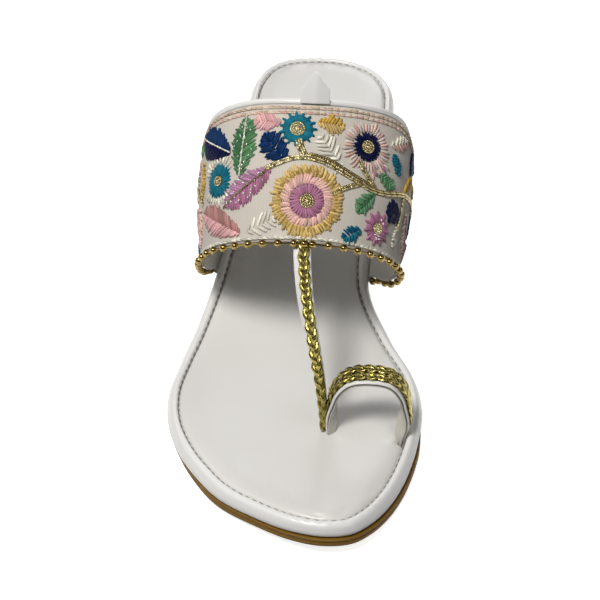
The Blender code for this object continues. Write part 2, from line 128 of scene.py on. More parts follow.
def leatherette(name, light, dark, gloss, grainMm, grainDeep):
    # polyurethane-coated cloth, calendered: a tight pebble under a soft, slightly uneven gloss
    coat = {"IOR": 1.5, "Coat Weight": 0.18, "Coat Roughness": 0.2}
    material, tree, shader, at = startMaterial(name, coat)
    place = at.outputs["Object"]
    cloud = addNode(tree, "TexNoise", {"Scale": perMetre(38), "Detail": 3.0}, {"Vector": place})
    tint = addNode(tree, "Mix", {"data_type": "RGBA", 6: hexColour(light), 7: hexColour(dark)},
                   {0: cloud.outputs["Fac"]})
    tree.links.new(tint.outputs[2], shader.inputs["Base Color"])
    sheen = addNode(tree, "MapRange", {"To Min": gloss - 0.07, "To Max": gloss + 0.09},
                    {"Value": cloud.outputs["Fac"]})
    tree.links.new(sheen.outputs["Result"], shader.inputs["Roughness"])
    swell = addNode(tree, "TexNoise", {"Scale": perMetre(9), "Detail": 2.0}, {"Vector": place})
    soft = addNode(tree, "Bump", {"Strength": 0.35, "Distance": 0.25 * mm}, {"Height": swell.outputs["Fac"]})
    pebble = addNode(tree, "TexVoronoi", {"feature": "SMOOTH_F1", "Scale": perMetre(grainMm)},
                     {"Vector": place})
    grain = addNode(tree, "Bump", {"Strength": 0.5, "Distance": grainDeep * mm, "invert": True},
                    {"Height": pebble.outputs["Distance"], "Normal": soft.outputs["Normal"]})
    tree.links.new(grain.outputs["Normal"], shader.inputs["Normal"])
    return material


def soleSheet(name, light, dark, scuff):
    # moulded thermoplastic rubber sheet, tan right through: satin, with drawn streaks and rubbed corners
    material, tree, shader, at = startMaterial(name, {"IOR": 1.52, "Specular IOR Level": 0.3})
    place = at.outputs["Object"]
    stretched = addNode(tree, "Mapping", {"Scale": (1.0, 1.0, 9.0)}, {"Vector": place})
    streak = addNode(tree, "TexNoise", {"Scale": perMetre(16), "Detail": 5.0, "Roughness": 0.65},
                     {"Vector": stretched.outputs["Vector"]})
    tint = addNode(tree, "Mix", {"data_type": "RGBA", 6: hexColour(dark), 7: hexColour(light)},
                   {0: streak.outputs["Fac"]})
    specks = addNode(tree, "TexNoise", {"Scale": perMetre(1.2), "Detail": 2.0}, {"Vector": place})
    worn = addNode(tree, "MapRange", {"From Min": 0.6, "From Max": 0.8, "To Max": 0.5},
                   {"Value": specks.outputs["Fac"]})
    rubbed = addNode(tree, "Mix", {"data_type": "RGBA", 7: hexColour(scuff)},
                     {0: worn.outputs["Result"], 6: tint.outputs[2]})
    tree.links.new(rubbed.outputs[2], shader.inputs["Base Color"])
    pores = addNode(tree, "TexNoise", {"Scale": perMetre(0.6), "Detail": 3.0}, {"Vector": place})
    rough = addNode(tree, "MapRange", {"To Min": 0.5, "To Max": 0.7}, {"Value": pores.outputs["Fac"]})
    tree.links.new(rough.outputs["Result"], shader.inputs["Roughness"])
    bump = addNode(tree, "Bump", {"Strength": 0.5, "Distance": 0.08 * mm}, {"Height": pores.outputs["Fac"]})
    tree.links.new(bump.outputs["Normal"], shader.inputs["Normal"])
    return material


def groundCloth():
    # plain-woven cotton silk with a faint slub; real threads are about 0.3 mm, drawn at 0.5 mm so they show
    fibre = {"IOR": 1.46, "Roughness": 0.8, "Sheen Weight": 0.15}
    material, tree, shader, at = startMaterial("groundCloth", fibre)
    weave = at.outputs["UV"]
    thread = {"wave_profile": "SIN", "Scale": waveScale(0.5), "Distortion": 0.6, "Detail Scale": 2.0}
    warp = addNode(tree, "TexWave", thread, {"Vector": weave})
    weft = addNode(tree, "TexWave", {"bands_direction": "Y", **thread}, {"Vector": weave})
    over = addNode(tree, "TexChecker", {"Scale": perMetre(0.5)}, {"Vector": weave})
    threads = addNode(tree, "Mix", {"data_type": "FLOAT"},
                      {0: over.outputs["Fac"], 2: warp.outputs["Fac"], 3: weft.outputs["Fac"]})
    slub = addNode(tree, "TexNoise", {"Scale": perMetre(6), "Detail": 3.0}, {"Vector": weave})
    cloth = addNode(tree, "Mix", {"data_type": "RGBA", 6: hexColour("#d1c9be"), 7: hexColour("#dcd6cb")},
                    {0: slub.outputs["Fac"]})
    pits = addNode(tree, "MapRange", {"To Min": 0.22, "To Max": 0.0}, {"Value": threads.outputs[0]})
    shaded = addNode(tree, "Mix", {"data_type": "RGBA", 7: hexColour("#a89f93")},
                     {0: pits.outputs["Result"], 6: cloth.outputs[2]})
    tree.links.new(shaded.outputs[2], shader.inputs["Base Color"])
    bump = addNode(tree, "Bump", {"Strength": 0.5, "Distance": 0.07 * mm}, {"Height": threads.outputs[0]})
    tree.links.new(bump.outputs["Normal"], shader.inputs["Normal"])
    return material


def floss(name, settings, plyMm, plyDeep):
    # stranded embroidery thread, hand laid: each stitch keeps its dye lot, plies twist across it
    material, tree, shader = startMaterial(name, settings)[:3]
    dye = addNode(tree, "Attribute", {"attribute_name": "threadColour"})
    lie = addNode(tree, "Attribute", {"attribute_name": "strandCoord"})
    twist = {"bands_direction": "DIAGONAL", "Scale": waveScale(plyMm), "Distortion": 1.0}
    ply = addNode(tree, "TexWave", twist, {"Vector": lie.outputs["Vector"]})
    shade = addNode(tree, "MapRange", {"To Min": 0.78, "To Max": 1.06}, {"Value": ply.outputs["Fac"]})
    tint = addNode(tree, "VectorMath", {"operation": "SCALE"},
                   {0: dye.outputs["Color"], "Scale": shade.outputs["Result"]})
    tree.links.new(tint.outputs["Vector"], shader.inputs["Base Color"])
    bump = addNode(tree, "Bump", {"Strength": 0.6, "Distance": plyDeep * mm}, {"Height": ply.outputs["Fac"]})
    tree.links.new(bump.outputs["Normal"], shader.inputs["Normal"])
    return material


def braidFoil(name, light, dark):
    # lurex yarn, foil strips wound on a core: bright olive gold, patchy where the film has dulled
    material, tree, shader, at = startMaterial(name, {"Metallic": 1.0})
    twist = {"bands_direction": "DIAGONAL", "Scale": waveScale(0.55), "Distortion": 0.6}
    wind = addNode(tree, "TexWave", twist, {"Vector": at.outputs["UV"]})
    patch = addNode(tree, "TexNoise", {"Scale": perMetre(5), "Detail": 3.0},
                    {"Vector": at.outputs["Object"]})
    tint = addNode(tree, "Mix", {"data_type": "RGBA", 6: hexColour(dark), 7: hexColour(light)},
                   {0: patch.outputs["Fac"]})
    tree.links.new(tint.outputs[2], shader.inputs["Base Color"])
    rough = addNode(tree, "MapRange", {"To Min": 0.22, "To Max": 0.38}, {"Value": wind.outputs["Fac"]})
    tree.links.new(rough.outputs["Result"], shader.inputs["Roughness"])
    bump = addNode(tree, "Bump", {"Strength": 0.3, "Distance": 0.06 * mm}, {"Height": wind.outputs["Fac"]})
    tree.links.new(bump.outputs["Normal"], shader.inputs["Normal"])
    return material


def platedBead():
    # thin brass plate on a moulded bead: mirror gold with fine handling marks
    material, tree, shader, at = startMaterial("platedBead", {"Metallic": 1.0})
    marks = addNode(tree, "TexNoise", {"Scale": perMetre(1.1), "Detail": 4.0},
                    {"Vector": at.outputs["Object"]})
    tint = addNode(tree, "Mix", {"data_type": "RGBA", 6: hexColour("#6b5428"), 7: hexColour("#ab955a")},
                   {0: marks.outputs["Fac"]})
    tree.links.new(tint.outputs[2], shader.inputs["Base Color"])
    rough = addNode(tree, "MapRange", {"To Min": 0.1, "To Max": 0.26}, {"Value": marks.outputs["Fac"]})
    tree.links.new(rough.outputs["Result"], shader.inputs["Roughness"])
    return material


def paleFloor():
    # lit acrylic sweep under a matt white film: it glows a little, so shadows on it stay pale
    material, tree, shader, at = startMaterial("paleFloor", {"Roughness": 0.9, "Specular IOR Level": 0.2})
    cloud = addNode(tree, "TexNoise", {"Scale": 3.0, "Detail": 2.0}, {"Vector": at.outputs["Object"]})
    tint = addNode(tree, "Mix", {"data_type": "RGBA", 6: hexColour("#f7f7f6"), 7: hexColour("#f3f3f2")},
                   {0: cloud.outputs["Fac"]})
    tree.links.new(tint.outputs[2], shader.inputs["Base Color"])
    tree.links.new(tint.outputs[2], shader.inputs["Emission Color"])
    shader.inputs["Emission Strength"].default_value = floorLook["glow"]
    return material


# the cover leatherette is drawn whiter than the pad's; part of that is painted light, standing in for front
# light on the rim
coverLeather = leatherette("whiteLeatherette", "#f1f1ef", "#eae9e7", 0.3, 0.9, 0.025)
padLeather = leatherette("softWhiteLeatherette", "#e2e1de", "#dad8d4", 0.36, 1.1, 0.03)
liningLeather = leatherette("liningLeatherette", "#dfdcd5", "#d6d2ca", 0.5, 0.8, 0.03)
# the lining leatherette again, drawn darker: painted shade for the loop's inner faces
shadedLining = leatherette("loopLiningShadeLeatherette", "#cfcbc2", "#c3bfb5", 0.5, 0.8, 0.03)
# dark grey board layer: its edge draws a dark line round the loop's front and legs
edgeLeather = leatherette("darkEdgeLeatherette", "#88847b", "#767269", 0.6, 0.8, 0.03)
tanSheet = soleSheet("tanRubberSheet", "#8c6714", "#6b4c0c", "#4b350c")
silkCloth = groundCloth()
rayonFloss = floss("rayonFloss", {"IOR": 1.48, "Specular IOR Level": 0.12, "Roughness": 0.45}, 0.5, 0.06)
zariThread = floss("zariThread", {"Metallic": 0.9, "Roughness": 0.3}, 0.55, 0.08)
seamThread = floss("polyesterSeamThread", {"IOR": 1.5, "Roughness": 0.55}, 0.5, 0.05)
goldFoil = braidFoil("lurexFoil", "#c2b56a", "#665922")
gapShadeFoil = braidFoil("braidGapShadeFoil", "#40351a", "#241d0c")     # backing seen between the strands, near black: painted shade in the gaps
goldPlate = platedBead()
print("materials made:", len(bpy.data.materials))

# Shared shaping


def unit(vectors):
    return vectors / np.linalg.norm(vectors, axis=-1, keepdims=True)


def smoothPath(points, steps, closed=False):
    # centripetal curve through the points
    pts = np.asarray(points, float)
    if closed:
        padded = np.vstack((pts[-1:], pts, pts[:2]))
    else:
        padded = np.vstack((2 * pts[0] - pts[1], pts, 2 * pts[-1] - pts[-2]))
    out = []
    for a, b, c, d in zip(padded, padded[1:], padded[2:], padded[3:]):
        gaps = [np.linalg.norm(q[:3] - p[:3]) ** 0.5 for p, q in ((a, b), (b, c), (c, d))]
        k = np.cumsum([0.0] + gaps)
        for t in np.linspace(k[1], k[2], steps, endpoint=False):
            ab = (a * (k[1] - t) + b * (t - k[0])) / (k[1] - k[0])
            bc = (b * (k[2] - t) + c * (t - k[1])) / (k[2] - k[1])
            cd = (c * (k[3] - t) + d * (t - k[2])) / (k[3] - k[2])
            abc = (ab * (k[2] - t) + bc * (t - k[0])) / (k[2] - k[0])
            bcd = (bc * (k[3] - t) + cd * (t - k[1])) / (k[3] - k[1])
            out.append((abc * (k[2] - t) + bcd * (t - k[1])) / (k[2] - k[1]))
    if not closed:
        out.append(pts[-1])
    return np.array(out)


def runOf(points):              # distance along a line of points
    steps = np.linalg.norm(np.diff(points[:, :3], axis=0), axis=1)
    return np.concatenate(([0.0], np.cumsum(steps)))


def resample(points, count):
    run = runOf(points)
    at = np.linspace(0.0, run[-1], count)
    return np.stack([np.interp(at, run, column) for column in points.T], axis=1)


def skin(points, uvSize=(1.0, 1.0)):
    # a grid pulled onto points[row, column], welded where it meets itself, its ends filled
    points = np.concatenate((points, points[:, :1]), axis=1)
    rows, columns = points.shape[:2]
    bm = bmesh.new()
    uv = bm.loops.layers.uv.new("surface")
    bmesh.ops.create_grid(bm, x_segments=columns - 1, y_segments=rows - 1, size=1.0, calc_uvs=True)
    for vert, place in zip(bm.verts, points.reshape(-1, 3) * mm):
        vert.co = place
    for face in bm.faces:
        for loop in face.loops:
            loop[uv].uv = (loop[uv].uv.x * uvSize[0] * mm, loop[uv].uv.y * uvSize[1] * mm)
    bmesh.ops.remove_doubles(bm, verts=bm.verts, dist=1e-7)
    ends = [edge for edge in bm.edges if edge.is_boundary]
    if ends:
        bmesh.ops.holes_fill(bm, edges=ends, sides=0)
    bmesh.ops.recalc_face_normals(bm, faces=bm.faces)
    return bm


def joinInto(bm, other):        # adds another bmesh to this one
    mesh = bpy.data.meshes.new("part")
    other.to_mesh(mesh)
    other.free()
    bm.from_mesh(mesh)
    bpy.data.meshes.remove(mesh)


def addPiece(name, made, material, stands=(), sharpDeg=38):
    mesh = made
    if isinstance(made, bmesh.types.BMesh):
        mesh = bpy.data.meshes.new(name)
        made.to_mesh(mesh)
        made.free()
    mesh.materials.append(material)
    mesh.shade_smooth()
    mesh.set_sharp_from_angle(angle=math.radians(sharpDeg))
    piece = bpy.data.objects.new(name, mesh)
    bpy.context.scene.collection.objects.link(piece)
    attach(piece, "root")
    if stands:
        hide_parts(*stands)
    return piece


def tube(centres, radii, sides):    # round cord
    along = unit(np.gradient(centres, axis=0))
    lead = np.array((0.0, 1.0, 0.0))
    first = unit(lead - along * (along @ lead)[:, None])
    second = np.cross(along, first)
    turn = 2 * math.pi * np.arange(sides) / sides
    reach = np.broadcast_to(radii, len(centres))[:, None, None]
    ring = first[:, None] * np.cos(turn)[:, None] + second[:, None] * np.sin(turn)[:, None]
    width = 2 * math.pi * float(np.mean(radii))
    return skin(centres[:, None] + ring * reach, uvSize=(width, runOf(centres)[-1]))


# Sole: outline, layers and side profile

sole = {
    "length": 247.8,
    "outsoleThick": 3.5,
    "gap": 0.3,                 # clearance between layers
    "rimWidth": 5.2,
    "rimHeight": 6.7,
    "seatHeight": 48.6,
    "seatSlope": 0.09,
    "seatEnd": 48.0,
    "treadStart": 165.0,
    "treadEnd": 205.0,
    "toeSpring": 5.1,
    "heelEndX": -0.5,
    "toeEndX": 16.3,
    "outline": (                # distance from the back of the heel, then x of the lateral and medial side
        (2.5, -18.3, 13.0), (9.0, -26.9, 23.2), (20.0, -31.7, 29.7), (35.0, -33.2, 31.4),
        (55.0, -33.0, 29.2), (75.0, -32.8, 27.4), (97.0, -34.6, 25.9), (120.0, -39.0, 26.0),
        (140.0, -43.9, 35.6), (158.0, -48.5, 46.2), (175.0, -50.6, 50.0), (192.0, -48.2, 49.1),
        (206.0, -42.2, 46.7), (219.0, -33.3, 43.1), (230.0, -23.5, 38.5), (239.0, -9.8, 32.9),
        (245.5, 3.7, 26.2),
    ),
    "heelHub": 30.0,            # rays fan out round the heel and the toe from these distances
    "toeHub": 206.0,
    "rays": (150, 90, 130),     # along each side, round the heel, round the toe
    # insets are drawn tighter towards the heel: distances and shares
    "ease": ((0.0, 60.0, 120.0, 200.0, 248.0), (0.76, 0.78, 0.84, 0.87, 0.9)),
}


def soleHeight(station):
    s = np.asarray(station, float)
    span = sole["treadStart"] - sole["seatEnd"]
    t = np.clip((s - sole["seatEnd"]) / span, 0.0, 1.0)
    start = sole["seatHeight"] - sole["seatSlope"] * sole["seatEnd"]
    arch = start * (2 * t**3 - 3 * t**2 + 1) - sole["seatSlope"] * span * (t**3 - 2 * t**2 + t)
    toe = np.clip((s - sole["treadEnd"]) / (sole["length"] - sole["treadEnd"]), 0.0, None)
    seat = sole["seatHeight"] - sole["seatSlope"] * s
    return np.where(s < sole["seatEnd"], seat, arch) + sole["toeSpring"] * toe**2


def rimCurve(inset):
    medial = [(row[2], row[0]) for row in sole["outline"]]
    lateral = [(row[1], row[0]) for row in reversed(sole["outline"])]
    corners = [(sole["heelEndX"], 0.0)] + medial + [(sole["toeEndX"], sole["length"])] + lateral
    curve = smoothPath(corners, 16, closed=True)
    along = unit(np.roll(curve, -1, 0) - np.roll(curve, 1, 0))
    inward = np.stack((-along[:, 1], along[:, 0]), axis=1)
    curve = curve + inward * (inset * np.interp(curve[:, 1], *sole["ease"]))[:, None]
    return np.roll(curve, -int(np.argmin(curve[:, 1])), axis=0)


def sideAt(inset, stations):
    curve = rimCurve(inset)
    toe = int(np.argmax(curve[:, 1]))
    medial = curve[:toe + 1]
    lateral = np.vstack((curve[toe:], curve[:1]))[::-1]
    return np.interp(stations, lateral[:, 1], lateral[:, 0]), np.interp(stations, medial[:, 1], medial[:, 0])


def fan(inset, hub, towards, count):
    # points of the outline on rays from a hub, from the medial side round to the lateral one
    offset = (rimCurve(inset) - hub) * (1.0, towards)
    angle = np.arctan2(offset[:, 1], offset[:, 0])
    keep = angle > -1.2
    order = np.argsort(angle[keep])
    wanted = math.pi * np.arange(1, count + 1) / (count + 1)
    reach = np.interp(wanted, angle[keep][order], np.linalg.norm(offset[keep][order], axis=1))
    return hub + np.stack((np.cos(wanted), np.sin(wanted) * towards), axis=1) * reach[:, None]


def soleLoop(inset):
    # the inset outline as (x, station): up the medial side, round the toe, back, round the heel
    sides, heelRays, toeRays = sole["rays"]
    stations = np.linspace(sole["heelHub"], sole["toeHub"], sides)
    lateral, medial = sideAt(inset, stations)
    toe = fan(inset, soleHubs[1], 1.0, toeRays)
    heel = fan(inset, soleHubs[0], -1.0, heelRays)
    medialSide = np.stack((medial, stations), axis=1)
    lateralSide = np.stack((lateral, stations), axis=1)
    return np.vstack((medialSide, toe, lateralSide[::-1], heel[::-1]))


def makeSpine():
    sides, heelRays, toeRays = sole["rays"]
    stations = np.linspace(sole["heelHub"], sole["toeHub"], sides)
    middle = np.stack((np.mean(sideAt(0.0, stations), axis=0), stations), axis=1)
    toe = np.tile(middle[-1], (toeRays, 1))
    heel = np.tile(middle[0], (heelRays, 1))
    return np.vstack((middle, toe, middle[::-1], heel))


hubStations = np.array((sole["heelHub"], sole["toeHub"]))
soleHubs = np.stack((np.mean(sideAt(0.0, hubStations), axis=0), hubStations), axis=1)
soleSpine = makeSpine()


def lifted(flat, height):       # (x, station) and a height over the sole's underside, as points
    return np.stack((flat[:, 0], sole["length"] / 2 - flat[:, 1], soleHeight(flat[:, 1]) + height), axis=1)


def soleRing(inset, height, share=1.0):
    return lifted(soleSpine + (soleLoop(inset) - soleSpine) * share, height)


rimOuter, rimInner = soleLoop(0.0), soleLoop(sole["rimWidth"])
loopRun = runOf(lifted(rimOuter, 0.0))


def rimRing(inset, height):     # like soleRing, but inset and height may change round the sole
    share = np.broadcast_to(np.asarray(inset, float) / sole["rimWidth"], len(rimOuter))
    return lifted(rimOuter + (rimInner - rimOuter) * share[:, None], height)


def eased(value, low, high):    # smooth step from 0 to 1
    t = np.clip((value - low) / (high - low), 0.0, 1.0)
    return t * t * (3 - 2 * t)


outsoleLook = {
    "edge": (                   # inset and height round its side, with a groove between its two layers
        (0.5, 0.0), (0.15, 0.15), (0.0, 0.5), (0.0, 1.7), (0.1, 1.95), (0.55, 2.1), (0.55, 2.25),
        (0.1, 2.4), (0.05, 2.6), (0.1, 3.2), (0.45, 3.5),
    ),
    "flush": 1.2,               # it lies this far inside the rim, except where it stands proud:
    "proud": ((202.0, 226.0, 1.2), (170.0, 198.0, 2.1)),     # from, to and how much, lateral and medial
    "blend": 14.0,              # half the breadth over which one side's amount passes into the other's
    "flat": (0.0, 0.3, 0.6, 0.85),
    "flatInset": 2.4,
}
boardLook = {"inset": 3.0, "from": 3.56, "to": 3.74}    # lining board between the sole and the pad


def makeOutsole():
    top = sole["outsoleThick"]
    x, station = rimOuter.T
    medial = eased(x - soleSpine[:, 0], -outsoleLook["blend"], outsoleLook["blend"])
    proud = [amount * eased(station, low, high) for low, high, amount in outsoleLook["proud"]]
    base = outsoleLook["flush"] - proud[0] * (1.0 - medial) - proud[1] * medial
    flat, inward = outsoleLook["flat"], outsoleLook["flatInset"]
    rings = [soleRing(inward, 0.0, share) for share in flat]
    rings += [rimRing(base + inset, height) for inset, height in outsoleLook["edge"]]
    rings += [soleRing(inward, top, share) for share in reversed(flat)]
    addPiece("sole_sheet", skin(np.array(rings)), tanSheet, ["outsole"])
    low, high = boardLook["from"], boardLook["to"]
    rings = [soleRing(boardLook["inset"], low, share) for share in (0.0, 0.5, 1.0)]
    rings += [soleRing(boardLook["inset"], high, share) for share in (1.0, 0.5, 0.0)]
    addPiece("insole_board", skin(np.array(rings)), liningLeather)


rimLook = {
    "profile": (                # inset and height over the outsole, up the outside, over and down the inside
        (0.8, 0.3), (0.2, 1.0), (0.1, 2.0), (0.45, 3.3), (1.2, 4.6), (2.2, 5.6), (3.3, 6.15), (4.2, 6.1),
        (4.9, 5.6), (5.15, 4.9), (5.2, 3.2), (5.2, 0.3),
    ),
    "crown": (3.6, 1.3, 4.0),   # inset and spread of the roll's top, and the height that it starts at
    "recess": (4.8, 2.8),       # room under the rim for the band's lasted ends: inset and height
    "recessY": (8.0, 33.5),
    "wave": 0.12,               # soft unevenness of the roll, and its pitches and phases
    "waves": ((71, 0.4), (43, 2.0), (23, 4.1)),
    "pucker": 0.2,              # short gathers where the binding turns round the toe and heel
    "puckerPitch": 4.6,
}


def turnShare():                # 1 on the tight turns of the outline, 0 along its sides
    sides, heelRays, toeRays = sole["rays"]
    share = np.zeros(len(soleSpine))
    share[sides:sides + toeRays] = np.sin(np.linspace(0.0, math.pi, toeRays)) ** 0.7
    share[2 * sides + toeRays:] = np.sin(np.linspace(0.0, math.pi, heelRays)) ** 0.7
    return share


def makeRim():
    base = sole["outsoleThick"]
    profile = smoothPath(rimLook["profile"], 3)
    wander = sum(np.sin(2 * math.pi * loopRun / pitch + phase) for pitch, phase in rimLook["waves"])
    uneven = 1.4 * np.sin(loopRun / 6.0)
    gather = turnShare() * np.sin(2 * math.pi * loopRun / rimLook["puckerPitch"] + uneven)
    y = sole["length"] / 2 - rimOuter[:, 1]
    low, high = rimLook["recessY"]
    tucked = np.clip(np.minimum(y - low, high - y) / 0.8 + 0.5, 0.0, 1.0)
    deep, clear = rimLook["recess"]
    top, spread, start = rimLook["crown"]
    rings = []
    for inset, height in profile:
        crown = math.exp(-((inset - top) / spread) ** 2) * (height > start)
        rise = height + crown * (rimLook["wave"] / 3 * wander + rimLook["pucker"] * gather)
        if inset < deep:
            rise = np.maximum(rise, clear * tucked)
        rings.append(soleRing(inset, base + rise))
    for inset, rise in ((deep + 0.2, 0 * tucked), (deep, clear * tucked), (2.4, clear * tucked)):
        rings.append(soleRing(inset, base + np.maximum(rise, sole["gap"])))
    rings.append(rings[0])
    addPiece("rolled_rim", skin(np.array(rings)), coverLeather, ["edge_binding"])


padLook = {
    "inset": 5.5,
    "edgeHeight": 5.0,
    "crownHeight": 7.0,
    "roll": 8.0,                # the pad reaches its full height this far from its edge
    "seamDip": (1.0, 0.7),      # depth and width of the fall into the stitched seam
    "calm": 1.6,                # no creases at the edge, all of them this far in
    "slitLip": 0.3,
    "near": (0.0, 0.2, 0.45, 0.8, 1.3, 2.0, 2.9, 4.0, 5.4, 7.0, 9.0),
    "far": (0.1, 0.22, 0.36, 0.52, 0.68, 0.84, 1.0),
    "slits": (                  # centre, half length, half breadth, direction in degrees, depth
        ((12.55, -68.35), 1.45, 1.05, 0.0, 4.0), ((15.3, -70.2), 2.1, 1.2, 42.0, 4.0),
    ),
    "notch": ((-73.2, -65.6), 2.8, 1.4),    # y, depth and softness of the dent at the loop's outer leg
    "creases": (                # x, station, direction in degrees, half length, half width, depth
        (0.0, 26.0, 0.0, 17.0, 20.0, -0.55),        # heel seat pressed in
        (4.0, 178.0, 0.0, 34.0, 26.0, -0.45),       # tread under the ball
        (-2.0, 66.0, 0.0, 26.0, 5.0, 0.28),         # fold where the seat turns down into the arch
        (-14.0, 84.0, 8.0, 13.0, 3.2, -0.22),
        (9.0, 97.0, -9.0, 12.0, 3.0, -0.2),
        (-20.0, 152.0, -24.0, 15.0, 3.4, -0.24),
        (22.0, 150.0, 20.0, 12.0, 3.0, -0.22),
        (-18.0, 220.5, 60.0, 4.0, 1.5, 0.3),        # gathers round the toe
        (-6.0, 229.0, 70.0, 4.0, 1.4, -0.34),
        (3.0, 234.0, 80.0, 3.6, 1.2, 0.36),
        (10.0, 238.0, 12.0, 4.6, 1.2, 0.4),
        (17.5, 239.2, -4.0, 4.4, 1.1, 0.5),         # fold along the toe seam
        (13.0, 240.4, 20.0, 2.2, 0.9, -0.4),
        (23.0, 237.0, 116.0, 3.4, 1.2, -0.4),
        (29.0, 231.5, 122.0, 4.0, 1.3, 0.34),
        (35.0, 222.0, 128.0, 4.0, 1.5, -0.28),
        (-16.0, 12.0, 130.0, 4.0, 1.3, 0.34),       # gathers round the heel
        (-9.0, 7.6, 108.0, 3.6, 1.2, -0.36),
        (-1.0, 6.8, 92.0, 3.4, 1.1, 0.4),
        (6.0, 7.4, 76.0, 3.4, 1.2, -0.36),
        (14.0, 11.6, 52.0, 4.0, 1.3, 0.34),
        (13.9, 193.4, 90.0, 5.0, 4.0, -0.7),        # drawn down round the slits
    ),
}


def creaseLift(flat):
    lift = np.zeros(len(flat))
    for x, station, turn, halfLength, halfWidth, depth in padLook["creases"]:
        c, s = math.cos(math.radians(turn)), math.sin(math.radians(turn))
        dx, ds = flat[:, 0] - x, flat[:, 1] - station
        lift += depth * np.exp(-((dx * c + ds * s) / halfLength) ** 2 - ((ds * c - dx * s) / halfWidth) ** 2)
    return lift


def padEdge():
    edge = soleLoop(padLook["inset"])
    (low, high), depth, soft = padLook["notch"]
    y = sole["length"] / 2 - edge[:, 1]
    dent = eased(np.minimum(y - low, high - y) / soft + 1.0, 0.0, 1.0)
    edge[:, 0] -= depth * dent * (edge[:, 0] > 20.0)
    return edge


def makeInsole():
    base = sole["outsoleThick"]
    edge = padEdge()
    reach = np.linalg.norm(edge - soleSpine, axis=1)
    inward = (soleSpine - edge) / reach[:, None]
    last = padLook["near"][-1]
    depths = [np.full(len(edge), d) for d in padLook["near"]]
    depths += [last + (reach - last) * f for f in padLook["far"]]
    dip, wide = padLook["seamDip"]
    rings = []
    for share in (1.0, 0.5, 0.0):
        rings.append(lifted(edge + inward * (reach * share)[:, None], base + sole["gap"]))
    for depth in depths:
        flat = edge + inward * depth[:, None]
        swell = 1.0 - (1.0 - np.clip(depth / padLook["roll"], 0.0, 1.0)) ** 2
        rise = padLook["edgeHeight"] + (padLook["crownHeight"] - padLook["edgeHeight"]) * swell
        creased = creaseLift(flat) * np.clip(depth / padLook["calm"], 0.0, 1.0)
        rise = rise - dip * np.exp(-(depth / wide) ** 2) + creased
        rings.append(lifted(flat, base + rise))
    bm = skin(np.array(rings))
    for slit in padLook["slits"]:
        cutSlit(bm, *slit)
    pad = addPiece("insole_pad", bm, padLeather, ["insole"])


def cutSlit(bm, centre, halfLength, halfBreadth, turn, depth):
    # four straight cuts mark the slit on the pad's top, then it is inset a little and pushed down
    middle = Vector((centre[0], centre[1], 0.0))
    ahead = Vector((math.cos(math.radians(turn)), math.sin(math.radians(turn)), 0.0))
    beside = Vector((-ahead.y, ahead.x, 0.0))
    for normal, reach in ((ahead, halfLength), (beside, halfBreadth)):
        for side in (1.0, -1.0):
            top = [f for f in bm.faces if f.normal.z > 0.3]
            near = [f for f in top if (f.calc_center_median().xy / mm - middle.xy).length < 12.0]
            parts = [part for f in near for part in [*f.edges, *f.verts]]
            geom = near + list(dict.fromkeys(parts))        # each once, in the same order every run
            point = (middle + normal * reach * side) * mm
            bmesh.ops.bisect_plane(bm, geom=geom, plane_co=point, plane_no=normal, dist=1e-7)
    inside = []
    for face in bm.faces:
        offset = face.calc_center_median() / mm - middle
        offset.z = 0.0
        within = abs(offset.dot(ahead)) < halfLength and abs(offset.dot(beside)) < halfBreadth
        if face.normal.z > 0.3 and within:
            inside.append(face)
    lip = padLook["slitLip"] * mm
    bmesh.ops.inset_region(bm, faces=inside, thickness=lip, depth=-lip, use_even_offset=True)
    sunk = bmesh.ops.extrude_face_region(bm, geom=inside)
    verts = [item for item in sunk["geom"] if isinstance(item, bmesh.types.BMVert)]
    bmesh.ops.translate(bm, verts=verts, vec=(0.0, 0.0, -depth * mm))
    bmesh.ops.delete(bm, geom=inside, context="FACES")


# Block heel and its tip

heelLook = {
    "tipThick": 4.5,
    "tipEdge": ((0.7, 0.0), (0.25, 0.12), (0.0, 0.5), (0.0, 2.0), (0.0, 4.1), (0.2, 4.5)),  # inset, height
    # centre x, half width, start and depth of the round, breast y
    "foot": (-0.3, 22.5, 98.3, 19.6, 78.5),
    "head": (-1.5, 26.4, 99.0, 21.0, 77.0),
    "breastRound": 1.8,
    "footEdge": 0.35,           # small round at the foot, and the inset at the top
    "topInset": 0.3,
    "levels": (0.0, 0.12, 0.25, 0.4, 0.55, 0.7, 0.85, 1.0),
    "waist": 0.35,              # the wrapped sides draw in a little at mid height
}


def heelRing(share, inset=0.0):
    ends = zip(heelLook["foot"], heelLook["head"])
    centre, half, roundY, depth, breast = (foot + (head - foot) * share for foot, head in ends)
    half -= inset
    depth -= inset
    breast += inset
    r = heelLook["breastRound"]
    arc = np.linspace(0.0, math.pi / 2, 6)
    corners = [[(side * (half - r + r * math.sin(a)), breast + r - r * math.cos(a)) for a in arc]
               for side in (1.0, -1.0)]
    turn = np.linspace(0.0, math.pi, 48)
    back = [(half * math.cos(a), roundY + depth * math.sin(a)) for a in turn]
    sideY = np.linspace(breast + r, roundY, 8)[1:-1]
    right = [(half, y) for y in sideY]
    left = [(-half, y) for y in sideY[::-1]]
    front = [(x, breast) for x in np.linspace(-half + r, half - r, 14)[1:-1]]
    ring = corners[0] + right + back + left + corners[1][::-1] + front
    return np.array([(centre + x, y) for x, y in ring])


